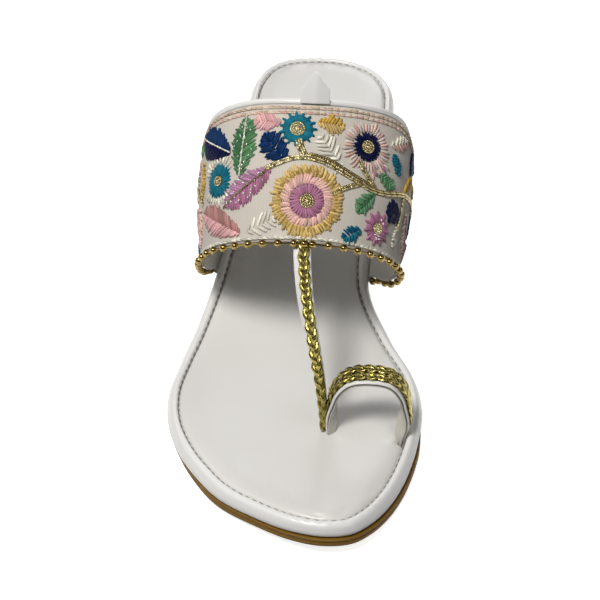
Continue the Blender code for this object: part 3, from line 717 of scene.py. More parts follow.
def makeHeel():
    seat = sole["seatHeight"]
    rings = []
    for inset, z in heelLook["tipEdge"]:
        flat = heelRing(z / seat, inset)
        rings.append(np.column_stack((flat, np.full(len(flat), z))))
    addPiece("heel_tip_sheet", skin(np.array(rings)), tanSheet, ["heel_tip"])
    rings = []
    foot, edge = heelLook["tipThick"] + sole["gap"], heelLook["footEdge"]
    levels = [(0.0, edge)] + [(level, 0.0) for level in heelLook["levels"]] + [(1.0, heelLook["topInset"])]
    for share, inset in levels:
        waist = heelLook["waist"] * math.sin(math.pi * share)
        flat = heelRing((foot + (seat - foot) * share) / seat, inset + waist)
        top = soleHeight(sole["length"] / 2 - flat[:, 1]) - sole["gap"]
        z = foot + (top - foot) * share + (edge if share == 0.0 and inset == 0.0 else 0.0)
        rings.append(np.column_stack((flat, z)))
    addPiece("heel_wrap", skin(np.array(rings)), coverLeather, ["heel_block"])


makeOutsole()
makeRim()
makeInsole()
makeHeel()
print("sole and heel made")

# Instep band: rows along the arch from the lateral to the medial side, front edge then rear edge

bandLook = {
    "thick": 2.2,
    "bulge": 1.2,
    "tuck": 3.9,
    "sideClear": (0.9, 1.9),    # how far the wall stands off the rim at the front edge and further back
    "footY": (8.5, 33.0),
    "free": (30.0, 50.0),       # heights between which its bulge and creases come in
    "rows": (
        (-40.0, -3.2, 32.0, -39.8, 28.5, 52.0), (-40.2, -9.5, 39.5, -41.8, 21.5, 70.0),
        (-38.8, -17.5, 49.5, -40.2, 15.8, 85.0), (-33.2, -25.4, 60.4, -35.8, 12.0, 95.8),
        (-18.6, -32.6, 70.2, -22.4, 7.2, 105.2), (1.3, -35.2, 73.8, 0.2, 3.6, 109.3),
        (18.4, -32.5, 70.2, 21.2, 8.2, 105.2), (31.2, -25.0, 60.2, 34.6, 15.0, 95.8),
        (36.2, -16.5, 48.5, 38.8, 19.0, 85.0), (36.0, -9.0, 38.5, 39.4, 24.5, 70.0),
        (33.2, -3.7, 31.5, 35.6, 30.0, 52.0),
    ),
    "steps": 8,
    "shares": 49,
    "creases": (                # place along and across, half lengths along and across, depth
        (-47.0, 12.0, 5.0, 14.0, -0.5), (-64.0, 24.0, 6.0, 18.0, 0.4), (46.0, 14.0, 5.0, 15.0, -0.5),
        (62.0, 26.0, 6.0, 16.0, 0.4), (-22.0, 22.0, 7.0, 20.0, 0.25), (14.0, 34.0, 8.0, 16.0, -0.25),
    ),
}


def bandTail(share, side):
    # the lasted end: in under the rim, round its edge and up
    front, rear = bandLook["footY"]
    y = front + (rear - front) * share
    station = sole["length"] / 2 - y
    out = (-1.0, 1.0)[side]
    edge = float(sideAt(0.0, station)[side])
    low = float(soleHeight(station)) + sole["outsoleThick"] + sole["gap"] + bandLook["thick"] / 2
    tuck = bandLook["tuck"]
    turn = float(np.interp(share, (0.0, 0.35), bandLook["sideClear"]))
    steps = (
        (-tuck, 0.0), (-tuck / 2, 0.0), (-0.2, 0.0),
        (turn * 0.62, turn * 0.32), (turn * 0.95, turn * 1.15), (turn + 0.35, turn * 2.3),
    )
    return [(edge + out * across, y, low + up) for across, up in steps]


def outOf(grid):
    return unit(np.cross(np.gradient(grid, axis=1), np.gradient(grid, axis=0)))


def makeBandGrid():
    table = np.array(bandLook["rows"])
    shares = np.linspace(0.0, 1.0, bandLook["shares"])
    rows = []
    for share in shares:
        arch = table[:, :3] * (1.0 - share) + table[:, 3:] * share
        line = np.vstack((bandTail(share, 0), arch, bandTail(share, 1)[::-1]))
        rows.append(smoothPath(line, bandLook["steps"]))
    grid = np.array(rows)
    low, high = bandLook["free"]
    free = np.clip((grid[:, :, 2] - low) / (high - low), 0.0, 1.0)
    bulge = 4 * shares * (1 - shares) * bandLook["bulge"]
    grid = grid + outOf(grid) * (free * bulge[:, None])[:, :, None]
    run = runOf(grid[len(shares) // 2])
    crown = 6 + len(table) // 2                     # six points of the tail come first
    run = run - run[crown * bandLook["steps"]]
    across = np.array([runOf(column) for column in grid.swapaxes(0, 1)]).T
    lift = np.zeros(grid.shape[:2])
    for a, c, halfA, halfC, depth in bandLook["creases"]:
        lift += depth * np.exp(-((run - a) / halfA) ** 2 - ((across - c) / halfC) ** 2)
    grid = grid + outOf(grid) * (lift * free)[:, :, None]
    return grid, outOf(grid), run, across[-1]


bandMid, bandOut, bandRun, bandWidth = makeBandGrid()
print("band arch from", round(bandRun[0], 1), "to", round(bandRun[-1], 1))


def widthAt(along):
    return np.interp(along, bandRun, bandWidth)


def onBand(along, across, lift=0.0):
    # a place on the band's face from its own sizes, and the way out of it
    column = np.interp(along, bandRun, np.arange(len(bandRun)))
    row = np.clip(across / widthAt(along), 0.0, 1.0) * (bandLook["shares"] - 1)
    i = np.clip(np.floor(column).astype(int), 0, len(bandRun) - 2)
    j = np.clip(np.floor(row).astype(int), 0, bandLook["shares"] - 2)
    f, g = (column - i)[..., None], (row - j)[..., None]
    mixed = []
    for field in (bandMid, bandOut):
        near = field[j, i] * (1 - f) + field[j, i + 1] * f
        far = field[j + 1, i] * (1 - f) + field[j + 1, i + 1] * f
        mixed.append(near * (1 - g) + far * g)
    out = unit(mixed[1])
    return mixed[0] + out * np.asarray(bandLook["thick"] / 2 + lift)[..., None], out


def bandLayer(inner, outer):
    # one layer of the wall between two offsets, with softly rounded edges
    sizes = (2 * float(bandWidth.mean()), bandRun[-1] - bandRun[0])
    middle = (inner + outer) / 2
    face = bandMid + bandOut * outer
    back = bandMid + bandOut * inner
    edges = bandMid + bandOut * middle
    ring = [edges[:1], face[1:-1], edges[-1:], back[-2:0:-1]]
    return skin(np.concatenate(ring).swapaxes(0, 1), uvSize=sizes)


halfWall = bandLook["thick"] / 2
addPiece("band_cloth", bandLayer(0.0, halfWall), silkCloth, ["upper"])
addPiece("band_lining", bandLayer(-halfWall, -0.02), liningLeather)

# Toe strap and toe loop in folded leatherette

strapLook = {
    "thick": 1.7,
    "rows": (                   # x, y, z, width, roll in degrees
        (1.2, -30.1, 78.2, 7.0, 0), (1.3, -35.2, 73.8, 6.8, 0), (2.0, -41.5, 67.6, 6.6, 0),
        (3.7, -49.6, 58.8, 6.2, 1), (7.0, -58.4, 47.0, 5.2, 4), (10.4, -65.2, 34.5, 3.9, 6),
        (12.0, -67.8, 22.0, 3.2, 6), (12.5, -68.3, 13.0, 2.7, 4), (12.55, -68.35, 4.6, 2.5, 0),
    ),
}
loopLook = {
    "thick": 2.0,
    "frontY": -71.0,
    "rows": (                   # x, z, place of the front edge, width
        (15.3, 4.1, -0.5, 2.6), (15.3, 10.5, -1.0, 3.6), (15.4, 15.0, -0.6, 5.6), (15.7, 21.0, 0.0, 7.4),
        (17.4, 28.4, 0.0, 8.8), (22.2, 34.4, 0.0, 9.2), (29.6, 36.0, 0.0, 9.2), (37.2, 34.6, 0.0, 9.2),
        (41.8, 28.4, 0.0, 8.8), (43.1, 21.0, 0.0, 7.6), (42.8, 15.0, -0.6, 6.2), (42.0, 10.5, -1.2, 4.4),
        (41.8, 4.1, -0.6, 2.6),
    ),
    # the legs turn their inner faces to the front: degrees, between these heights
    "twist": (48.0, 9.0, 26.0),
    "layers": (                 # face and lining with a dark grey board between them, whose edge shows as a dark line: from, to, trim
        ("toe_loop", -0.1, 1.0, 0.0),
        ("toe_loop_board", -0.4, -0.08, 0.12),
        ("toe_loop_lining", -1.0, -0.38, 0.1),
    ),
}
foldedSection = 28              # points round a folded strip


def strapFrames(path):
    along = unit(np.gradient(path[:, :3], axis=0))
    across = unit(np.array((1.0, 0.0, 0.0)) - along * along[:, :1])
    out = np.cross(along, across)
    roll = np.radians(path[:, 4])[:, None]
    return across * np.cos(roll) + out * np.sin(roll), out * np.cos(roll) - across * np.sin(roll)


def loopPath(steps):
    front = loopLook["frontY"]
    path = smoothPath([(x, front + back + w / 2, z, w) for x, z, back, w in loopLook["rows"]], steps)
    along = unit(np.gradient(path[:, :3] * (1.0, 0.0, 1.0), axis=0))
    degrees, low, high = loopLook["twist"]
    lateral = np.where(np.arange(len(path)) < len(path) // 2, 1.0, -1.0)
    turn = math.radians(degrees) * eased(high - path[:, 2], 0.0, high - low) * lateral
    across = np.stack((np.sin(turn), np.cos(turn), 0 * turn), axis=1)
    across = unit(across - along * np.sum(across * along, axis=1, keepdims=True))
    return path, across, np.cross(along, across)


def foldedStrip(centre, across, out, width, thick):
    turn = 2 * math.pi * np.arange(foldedSection) / foldedSection
    wide = np.sign(np.cos(turn)) * np.abs(np.cos(turn)) ** 0.3
    deep = np.sign(np.sin(turn)) * np.abs(np.sin(turn)) ** 0.55
    ring = across[:, None] * (width[:, None] / 2 * wide)[:, :, None]
    ring = ring + out[:, None] * (deep * thick / 2)[:, None]
    return skin(centre[:, None] + ring, uvSize=(2 * float(width.mean()), runOf(centre)[-1]))


strapPath = smoothPath(strapLook["rows"], 14)
strapAcross, strapOut = strapFrames(strapPath)
strapBody = foldedStrip(strapPath[:, :3], strapAcross, strapOut, strapPath[:, 3], strapLook["thick"])
addPiece("toe_strap", strapBody, coverLeather)
loopLine, loopAcross, loopOut = loopPath(12)
for (layer, low, high, trim), finish in zip(loopLook["layers"], (coverLeather, edgeLeather, shadedLining)):
    middle = loopLine[:, :3] + loopOut * (low + high) / 2
    addPiece(layer, foldedStrip(middle, loopAcross, loopOut, loopLine[:, 3] - trim, high - low), finish)

# Gold braids: each strand swings across the braid and dips under and over its neighbours

braidLook = {
    "strap": {"period": 15.6, "wide": 0.95, "deep": 0.62, "rise": 1.05, "share": 0.66, "shift": 0.5},
    "loop": {"period": 12.6, "wide": 0.95, "deep": 0.55, "rise": 0.62, "margin": 0.8},     # two abreast
    "strands": 3,
    "points": 260,              # along each strand
    "seat": 0.85,               # strand centres over the leather
    "tape": 0.5,                # woven backing under the strands
    "strapTop": -34.6,          # y where it comes out from under the beads
    "strapFoot": 10.2,
    "loopFoot": (17.0, 9.4),    # z on the lateral and the medial leg
}


def swing(turn):                # rounded triangle wave, -1 to 1
    return np.arcsin(0.965 * np.sin(turn)) / math.asin(0.965)


def plait(path, across, out, half, look):
    # each strand goes over its neighbours on the way in and under them on the way out
    run = runOf(path)
    count = braidLook["strands"]
    wide = np.minimum(look["wide"], half * 0.5)
    bm = bmesh.new()
    for strand in range(count):
        turn = 2 * math.pi * (run / look["period"] + strand / count)
        dive = -np.sin((count - 1) * turn)
        line = path + (swing(turn) * (half - wide * 0.9))[:, None] * across
        line = line + (dive * look["rise"] / 2)[:, None] * out
        joinInto(bm, ovalYarn(line, wide, out, look["deep"] / look["wide"]))
    return bm


# the tape's foil is near black: painted shade between the strands
def backing(path, across, out, half):
    thick = braidLook["tape"]
    return foldedStrip(path - out * (braidLook["seat"] - thick / 2), across, out, 2 * half - 1.0, thick)


def ovalYarn(line, wide, out, flat):
    # flat-oval yarn that keeps its broad side to the face of the braid
    along = unit(np.gradient(line, axis=0))
    beside = unit(np.cross(along, out))
    up = np.cross(beside, along)
    turn = 2 * math.pi * np.arange(10) / 10
    ring = beside[:, None] * np.cos(turn)[:, None] + up[:, None] * np.sin(turn)[:, None] * flat
    size = (2 * math.pi * float(wide.mean()), runOf(line)[-1])
    return skin(line[:, None] + ring * wide[:, None, None], uvSize=size)


def makeBraids():
    look = braidLook["strap"]
    keep = (strapPath[:, 1] < braidLook["strapTop"]) & (strapPath[:, 2] > braidLook["strapFoot"])
    path = resample(strapPath[keep], braidLook["points"])
    across, out = strapFrames(path)
    half = np.minimum(strapLook["rows"][1][3] * look["share"], path[:, 3] + 0.3) / 2
    shift = np.clip((path[:, 3] - 2 * half) / 1.5, 0.0, 1.0) * look["shift"]
    centre = path[:, :3] + out * (strapLook["thick"] / 2 + braidLook["seat"]) + across * shift[:, None]
    addPiece("strap_plait", plait(centre, across, out, half, look), goldFoil, ["strap_braid"])
    addPiece("strap_backing", backing(centre, across, out, half), gapShadeFoil)
    look = braidLook["loop"]
    crown = int(np.argmax(loopLine[:, 2]))
    low = np.where(np.arange(len(loopLine)) < crown, *braidLook["loopFoot"])
    path = np.hstack((loopLine, loopOut, loopAcross))[loopLine[:, 2] > low]
    path = resample(path, braidLook["points"])
    out, across = unit(path[:, 4:7]), unit(path[:, 7:])
    half = (path[:, 3] - look["margin"] - 0.1) / 2
    centre = path[:, :3] + out * (loopLook["thick"] / 2 + braidLook["seat"]) + across * (look["margin"] / 2)
    bm = bmesh.new()
    for lane in (-0.5, 0.5):
        joinInto(bm, plait(centre + across * (lane * half)[:, None], across, out, half / 2, look))
    addPiece("loop_plait", bm, goldFoil, ["loop_braid"])
    addPiece("loop_backing", backing(centre, across, out, half), gapShadeFoil)


makeBraids()
print("band, strap, loop and braids made")

# Beads along the front edge, piping along the rear edge, pointed tab

beadLook = {
    "radius": 1.55,
    "thread": 0.35,
    "out": 2.3,                 # centres, from the middle of the wall
    "outAtEnds": 0.4,           # share of that at both ends of the row
    "forward": 0.85,
    "cluster": (-3.0, 0.9, 3.9),                    # three close together over the strap
    "pitch": 6.1,
    "stop": -4.4,               # they run on down past the top of the rim
    "turnIn": 14.0,             # over this height they come round to the front of the edge
    "room": 2.635,              # an end this far from the last bead gets one more
}
pipingLook = {
    "radius": 1.3, "inward": 0.35, "beyond": 1.45, "stop": -3.0,
    "waves": ((0.025, 5.1), (0.02, 2.3)),           # unevenness: share of the radius and its length
}
tabLook = {
    "centreX": 2.8, "halfWidth": 5.6, "shoulder": 5.0, "length": 12.0, "tip": 0.4, "thick": 0.9,
    "riseDeg": 62.0, "out": 1.05, "back": 0.6, "curl": 0.5, "fold": 0.3, "foldFrom": 0.15, "bevel": 0.2,
}


def bandEdge(row, clear):
    # points of an edge above the rim, the way out, and the way off the edge
    inner = 1 if row == 0 else -2
    line, out = bandMid[row], bandOut[row]
    along = unit(np.gradient(line, axis=0))
    off = line - bandMid[inner]
    off = unit(off - along * np.sum(off * along, axis=1, keepdims=True))
    top = soleHeight(sole["length"] / 2 - line[:, 1]) + sole["outsoleThick"] + sole["rimHeight"]
    keep = line[:, 2] > top + clear
    return line[keep], out[keep], off[keep]


def makeBeads():
    line, out, off = bandEdge(0, beadLook["stop"])
    near = np.clip((line[:, 2] - line[:, 2].min()) / beadLook["turnIn"], 0.0, 1.0)[:, None]
    share = beadLook["outAtEnds"] + (1.0 - beadLook["outAtEnds"]) * near
    line = line + out * beadLook["out"] * share + off * beadLook["forward"]
    run = runOf(line)
    run = run - run[int(np.argmax(line[:, 2]))]
    stops = list(beadLook["cluster"])
    while stops[0] - beadLook["pitch"] > run[0]:
        stops.insert(0, stops[0] - beadLook["pitch"])
    while stops[-1] + beadLook["pitch"] < run[-1]:
        stops.append(stops[-1] + beadLook["pitch"])
    for end in (run[0], run[-1]):                   # a last one against the rim, where it has room
        if min(abs(end - stop) for stop in stops) > beadLook["room"]:
            stops.append(end)
    bm = bmesh.new()
    for stop in stops:
        centre = Vector([np.interp(stop, run, column) for column in line.T]) * mm
        made = bmesh.ops.create_uvsphere(bm, u_segments=18, v_segments=12, radius=beadLook["radius"] * mm)
        bmesh.ops.translate(bm, verts=made["verts"], vec=centre)
    joinInto(bm, tube(resample(line, 160), beadLook["thread"], 8))
    addPiece("bead_edge", bm, goldPlate, ["bead_trim"])


def makePiping():
    line, out, off = bandEdge(-1, pipingLook["stop"])
    line = resample(line - out * pipingLook["inward"] + off * pipingLook["beyond"], 170)
    run = runOf(line)
    radii = pipingLook["radius"] * sum((a * np.sin(run / length) for a, length in pipingLook["waves"]), 1.0)
    addPiece("edge_piping", tube(line, radii, 16), coverLeather, ["rear_piping"])


def makeTab():
    line, out, off = bandEdge(-1, pipingLook["stop"])
    crown = int(np.argmax(line[:, 2]))
    base = line[crown] + out[crown] * tabLook["out"] + off[crown] * tabLook["back"]
    base[0] = tabLook["centreX"]
    rise = math.radians(tabLook["riseDeg"])
    up = np.array((0.0, math.cos(rise), math.sin(rise)))
    face = np.array((0.0, -math.sin(rise), math.cos(rise)))
    length, shoulder = tabLook["length"], tabLook["shoulder"]
    rows = []
    for level in np.linspace(0.0, length, 15):
        slope = np.clip((level - shoulder) / (length - shoulder), 0.0, 1.0)
        wide = tabLook["halfWidth"] * (1.0 - slope) + tabLook["tip"] * slope
        bend = tabLook["curl"] * (level / length) ** 2
        across = np.linspace(-wide, wide, 13)
        fold = tabLook["fold"] * np.clip(across - tabLook["foldFrom"] * tabLook["halfWidth"], 0.0, None)
        sides = zip(across, fold)
        rows.append([base + np.array((x, 0.0, 0.0)) + up * level - face * (bend + f) for x, f in sides])
    low = np.array(rows)
    high = low + face * tabLook["thick"]
    bm = skin(np.concatenate((low, high[:, ::-1]), axis=1))
    edges = [e for e in bm.edges if len(e.link_faces) == 2 and e.calc_face_angle() > 1.0]
    bmesh.ops.bevel(bm, geom=edges, offset=tabLook["bevel"] * mm, offset_type="OFFSET", affect="EDGES",
                    segments=2, profile=0.5, material=-1, clamp_overlap=True)
    addPiece("pointed_tab", bm, coverLeather, ["pull_tab"])


makeBeads()
makePiping()
makeTab()
print("beads, piping and tab made")

# Stitches: one small grain is copied along rails as a joined mesh

threadColours = {
    "teal": "#127288", "deepTeal": "#0b6080", "navy": "#06103a", "darkBlue": "#032f60",
    "mustard": "#dfc07c", "ochre": "#d6ac4c", "umber": "#b08e4a", "palePink": "#ecc0b4",
    "shell": "#e2d0c9", "mauve": "#b67a99", "lilac": "#bb8aaa", "rose": "#bc8984",
    "salmon": "#dc9c97", "pink": "#f2bcbe", "green": "#5a8c5e", "leafGreen": "#44764c",
    "seaGreen": "#6a9c76", "cream": "#f8f5e6", "beige": "#d4c0a8", "blush": "#e4cdbf",
    "chalk": "#e4e0d2", "gold": "#bcae7e", "antique": "#86774f", "paleGold": "#d8cda2",
    "silver": "#e8ebe6", "seamGrey": "#8d8b86", "seamPale": "#bdbbb6",
}
metalThreads = ("gold", "antique", "paleGold")
grainLook = {"sides": 6, "rings": 5, "fullness": 0.6, "bow": 0.22, "fromEdge": 0.5}


def grainTemplate():
    bm = bmesh.new()
    bmesh.ops.create_uvsphere(bm, u_segments=grainLook["sides"], v_segments=grainLook["rings"], radius=1.0)
    levels = np.array([v.co.z for v in bm.verts])
    rings, ringOf = np.unique(np.round(levels, 4), return_inverse=True)
    section = np.array([(v.co.x, v.co.y) for v in bm.verts])
    radius = np.maximum(np.linalg.norm(section, axis=1), 1e-6)
    section = section * (radius ** (grainLook["fullness"] - 1.0))[:, None] * (radius > 1e-3)[:, None]
    mesh = bpy.data.meshes.new("grain")
    bm.to_mesh(mesh)
    bm.free()
    return mesh, (rings + 1) / 2, ringOf, section


grainShape, grainStops, grainRing, grainSection = grainTemplate()


def grainMesh(name, rails, across, up, widths, heights, colours):
    # rails: points along each grain at the template's stops, in mm
    count = len(rails)
    place = rails[:, grainRing]
    place = place + across[:, None] * (grainSection[:, 0] * widths[:, None] / 2)[:, :, None]
    place = place + up[:, None] * (grainSection[:, 1] * heights[:, None] / 2)[:, :, None]
    bm = bmesh.new()
    bm.from_mesh(grainShape)
    size, edges, faces = len(bm.verts), len(bm.edges), len(bm.faces)
    made = 1
    while made < count:         # doubled until there are enough
        more = min(made, count - made)
        whole = bm.verts[:more * size] + bm.edges[:more * edges] + bm.faces[:more * faces]
        bmesh.ops.duplicate(bm, geom=whole)
        made += more
    for vert, spot in zip(bm.verts, place.reshape(-1, 3) * mm):
        vert.co = spot
    mesh = bpy.data.meshes.new(name)
    bm.to_mesh(mesh)
    bm.free()
    lengths = np.linalg.norm(rails[:, -1] - rails[:, 0], axis=1)
    lie = np.zeros((count, size, 3))
    lie[:, :, 0] = lengths[:, None] * grainStops[grainRing] * mm
    lie[:, :, 1] = widths[:, None] * grainSection[:, 0] * mm / 2
    lie[:, :, 2] = rng.uniform(0.0, 1.0, count)[:, None] * mm
    mesh.attributes.new("strandCoord", "FLOAT_VECTOR", "POINT").data.foreach_set("vector", lie.ravel())
    dye = np.repeat(colours, size, axis=0)
    mesh.color_attributes.new("threadColour", "FLOAT_COLOR", "POINT").data.foreach_set("color", dye.ravel())
    return mesh


def dyed(names, spread=0.5):    # palette colours with a little change from stitch to stitch
    colours = np.array([hexColour(threadColours[name]) for name in names])
    colours[:, :3] *= 1.0 + spread * (rng.uniform(0.0, 1.0, (len(names), 1)) - 0.5)
    return colours


embroidery = {"floss": [], "zari": []}


def sew(kind, start, end, width, colour, lift=0.14, height=0.74):
    embroidery[kind].append((start[0], start[1], end[0], end[1], width, height * width, lift, colour))


def polar(centre, radius, angle):
    return centre[0] + radius * math.cos(angle), centre[1] + radius * math.sin(angle)


ringLook = {"fill": 1.3, "slip": 0.2}
petalLook = {"width": 1.3, "root": 0.45, "spread": 0.8, "shorter": 0.2, "lift": 0.16}
knotLook = {"width": 0.82, "pitch": 0.85, "stitch": 0.95}
leafLook = {"width": 1.2, "pitch": 0.78, "lobe": 0.14, "ragged": 0.15, "slip": 0.25, "veinPitch": 1.7}
cordLook = {"width": 1.0, "pitch": 0.95, "half": 0.8, "lean": 0.3}
chainLook = {"width": 0.78, "pitch": 2.3, "span": (-95.0, 95.0), "open": 0.42}
sprayLook = {"width": 1.15, "spacing": 1.05, "ragged": 0.1}
speckLook = {"half": 0.5, "width": 0.55, "lift": 0.8, "height": 0.8}


def sewRing(centre, colour, inner, outer, width, lean, ragged, lift):
    count = int(math.pi * (inner + outer) * ringLook["fill"] / width)
    slip = ringLook["slip"]
    for i in range(count):
        angle = 2 * math.pi * (i + rng.uniform(-slip, slip)) / count
        reach = outer * (1.0 + ragged * rng.uniform(-1.0, 1.0))
        sew("floss", polar(centre, inner, angle), polar(centre, reach, angle + lean), width, colour, lift)


def sewPetals(centre, colour, inner, outer, petals):
    # three stitches to a petal, the middle one longest and on top
    for middle in 2 * math.pi * np.arange(petals) / petals:
        for side in (-1.0, 0.0, 1.0):
            reach = outer * (1.0 - petalLook["shorter"] * side * side + 0.03 * rng.uniform(-1.0, 1.0))
            start = polar(centre, inner, middle + side * petalLook["root"] * math.pi / petals)
            end = polar(centre, reach, middle + side * petalLook["spread"] * math.pi / petals)
            lift = petalLook["lift"] + 0.08 * (1.0 - side * side)
            sew("floss", start, end, petalLook["width"], colour, lift)


def sewKnot(centre, radius, colour):
    # coiled gold centre
    for ring in np.arange(radius - 0.45, 0.4, -knotLook["pitch"]):
        count = max(5, int(2 * math.pi * ring / knotLook["stitch"]))
        for i in range(count):
            start = polar(centre, ring - 0.15, 2 * math.pi * i / count)
            end = polar(centre, ring + 0.25, 2 * math.pi * (i + 1.5) / count)
            sew("zari", start, end, knotLook["width"], colour if i % 3 else "gold", 0.42, 0.9)
    sew("zari", (centre[0] - 0.4, centre[1]), (centre[0] + 0.4, centre[1]), 0.95, "paleGold", 0.6, 1.0)


def sewLeaf(base, tip, breadth, colours, sweep, fill, lobes, vein):
    # slanted stitches from a middle vein to each margin; one colour for each side
    base, tip = np.array(base), np.array(tip)
    length = float(np.linalg.norm(tip - base))
    ahead = (tip - base) / length
    beside = np.array((-ahead[1], ahead[0]))
    width = leafLook["width"]
    count = int(length * fill * leafLook["pitch"] / width)
    for i in range(count):
        t = (i + 0.5) / count
        wide = breadth / 2 * math.sin(math.pi * t ** 0.8) ** 0.65
        if lobes:
            wide *= 1.0 + leafLook["lobe"] * math.cos(2 * math.pi * lobes * t)
        for side, colour in zip((1.0, -1.0), colours):
            far = wide * (1.0 + leafLook["ragged"] * rng.uniform(-1.0, 1.0)) + 0.25
            step = length * t * 0.94 + leafLook["slip"] * rng.uniform(-1.0, 1.0)
            start = base + ahead * step - beside * side * 0.3
            end = base + ahead * (step + sweep * far * rng.uniform(0.85, 1.15)) + beside * side * far
            sew("floss", start, end, width * rng.uniform(0.8, 1.1), colour, 0.14 + 0.12 * rng.uniform())
    if vein:
        kind = "zari" if vein in metalThreads else "floss"
        count = int(length / leafLook["veinPitch"])
        for i in range(count):
            start, end = base + ahead * length * i / count, base + ahead * length * (i + 1.15) / count
            sew(kind, start, end, 0.75, vein, 0.62, 0.7)


def layCord(points, rows, colour):
    # couched cord: short slanted turns along a curve
    path = smoothPath(points, 14)
    path = resample(path, int(runOf(path)[-1] / cordLook["pitch"]) + 2)
    ahead = unit(np.gradient(path, axis=0))
    beside = np.stack((-ahead[:, 1], ahead[:, 0]), axis=1)
    for n, offset in enumerate(rows):
        lean = cordLook["lean"] if n % 2 == 0 else -cordLook["lean"]
        for i, (p, d, b) in enumerate(zip(path, ahead, beside)):
            middle = p + b * offset
            start = middle - d * cordLook["half"] - b * lean
            end = middle + d * cordLook["half"] + b * lean
            sew("zari", start, end, cordLook["width"], colour if (i + n) % 4 else "antique", 0.4, 0.85)


def sewChain(fromEdge, edge, colours):
    # chain stitch along an edge: each link is a narrow V that starts in the one before
    pitch = chainLook["pitch"]
    for i, along in enumerate(np.arange(*chainLook["span"], pitch)):
        across = fromEdge if edge == "front" else float(widthAt(along)) - fromEdge
        ahead = fromEdge if edge == "front" else float(widthAt(along + pitch)) - fromEdge
        colour = colours[i % len(colours)]
        for side in (chainLook["open"], -chainLook["open"]):
            end = (along + pitch * 1.2, ahead + side)
            sew("floss", (along, across), end, chainLook["width"], colour, 0.14, 0.75)


# The chart: places in mm along the band from its crown and across from its front edge

flowerChart = (                 # centre, gold centre, rings of colour, inner and outer radius, stitch, lean
    ((1.2, 15.4), 2.9, (("umber", 9.8, 12.8, 2.0, 0.0), ("mustard", 9.4, 14.2, 1.5, 0.1),
                        ("palePink", 6.2, 10.4, 1.3, -0.16), ("mauve", 2.6, 7.2, 1.2, 0.18))),
    ((23.0, 39.4), 2.7, (("navy", 2.3, 5.9, 1.25, 0.15),)),
    ((-36.5, 25.5), 2.2, (("teal", 1.9, 6.8, 1.3, 0.12),)),
    ((-66.0, 33.0), 2.4, (("navy", 2.0, 5.6, 1.25, 0.15),)),
)
petalChart = (                  # centre, gold centre, colour, inner and outer radius, petals
    ((-3.2, 43.0), 2.9, "teal", 2.5, 7.0, 15),
    ((31.9, 9.6), 2.4, "mauve", 2.0, 6.8, 11),
    ((68.0, 21.0), 2.4, "teal", 2.1, 6.6, 14),
    ((-79.0, 12.0), 2.2, "mauve", 1.9, 6.2, 11),
)
sprayChart = (                  # centre, colours in turn, inner and outer radius, span in degrees, pitch
    ((23.0, 39.4), ("shell", "shell", "palePink"), 5.7, 10.0, 0, 360, 1.2),
    ((23.0, 39.4), ("palePink", "lilac", "shell"), 9.4, 12.2, 288, 338, 1.3),
    ((-36.5, 25.5), ("cream",), 6.8, 9.8, 35, 165, 1.5),
    ((-36.5, 25.5), ("cream",), 6.8, 9.6, 215, 330, 1.5),
    ((-66.0, 33.0), ("shell", "palePink"), 5.5, 8.8, 0, 360, 1.25),
    ((68.0, 21.0), ("cream",), 6.5, 9.0, 20, 160, 1.5),
)
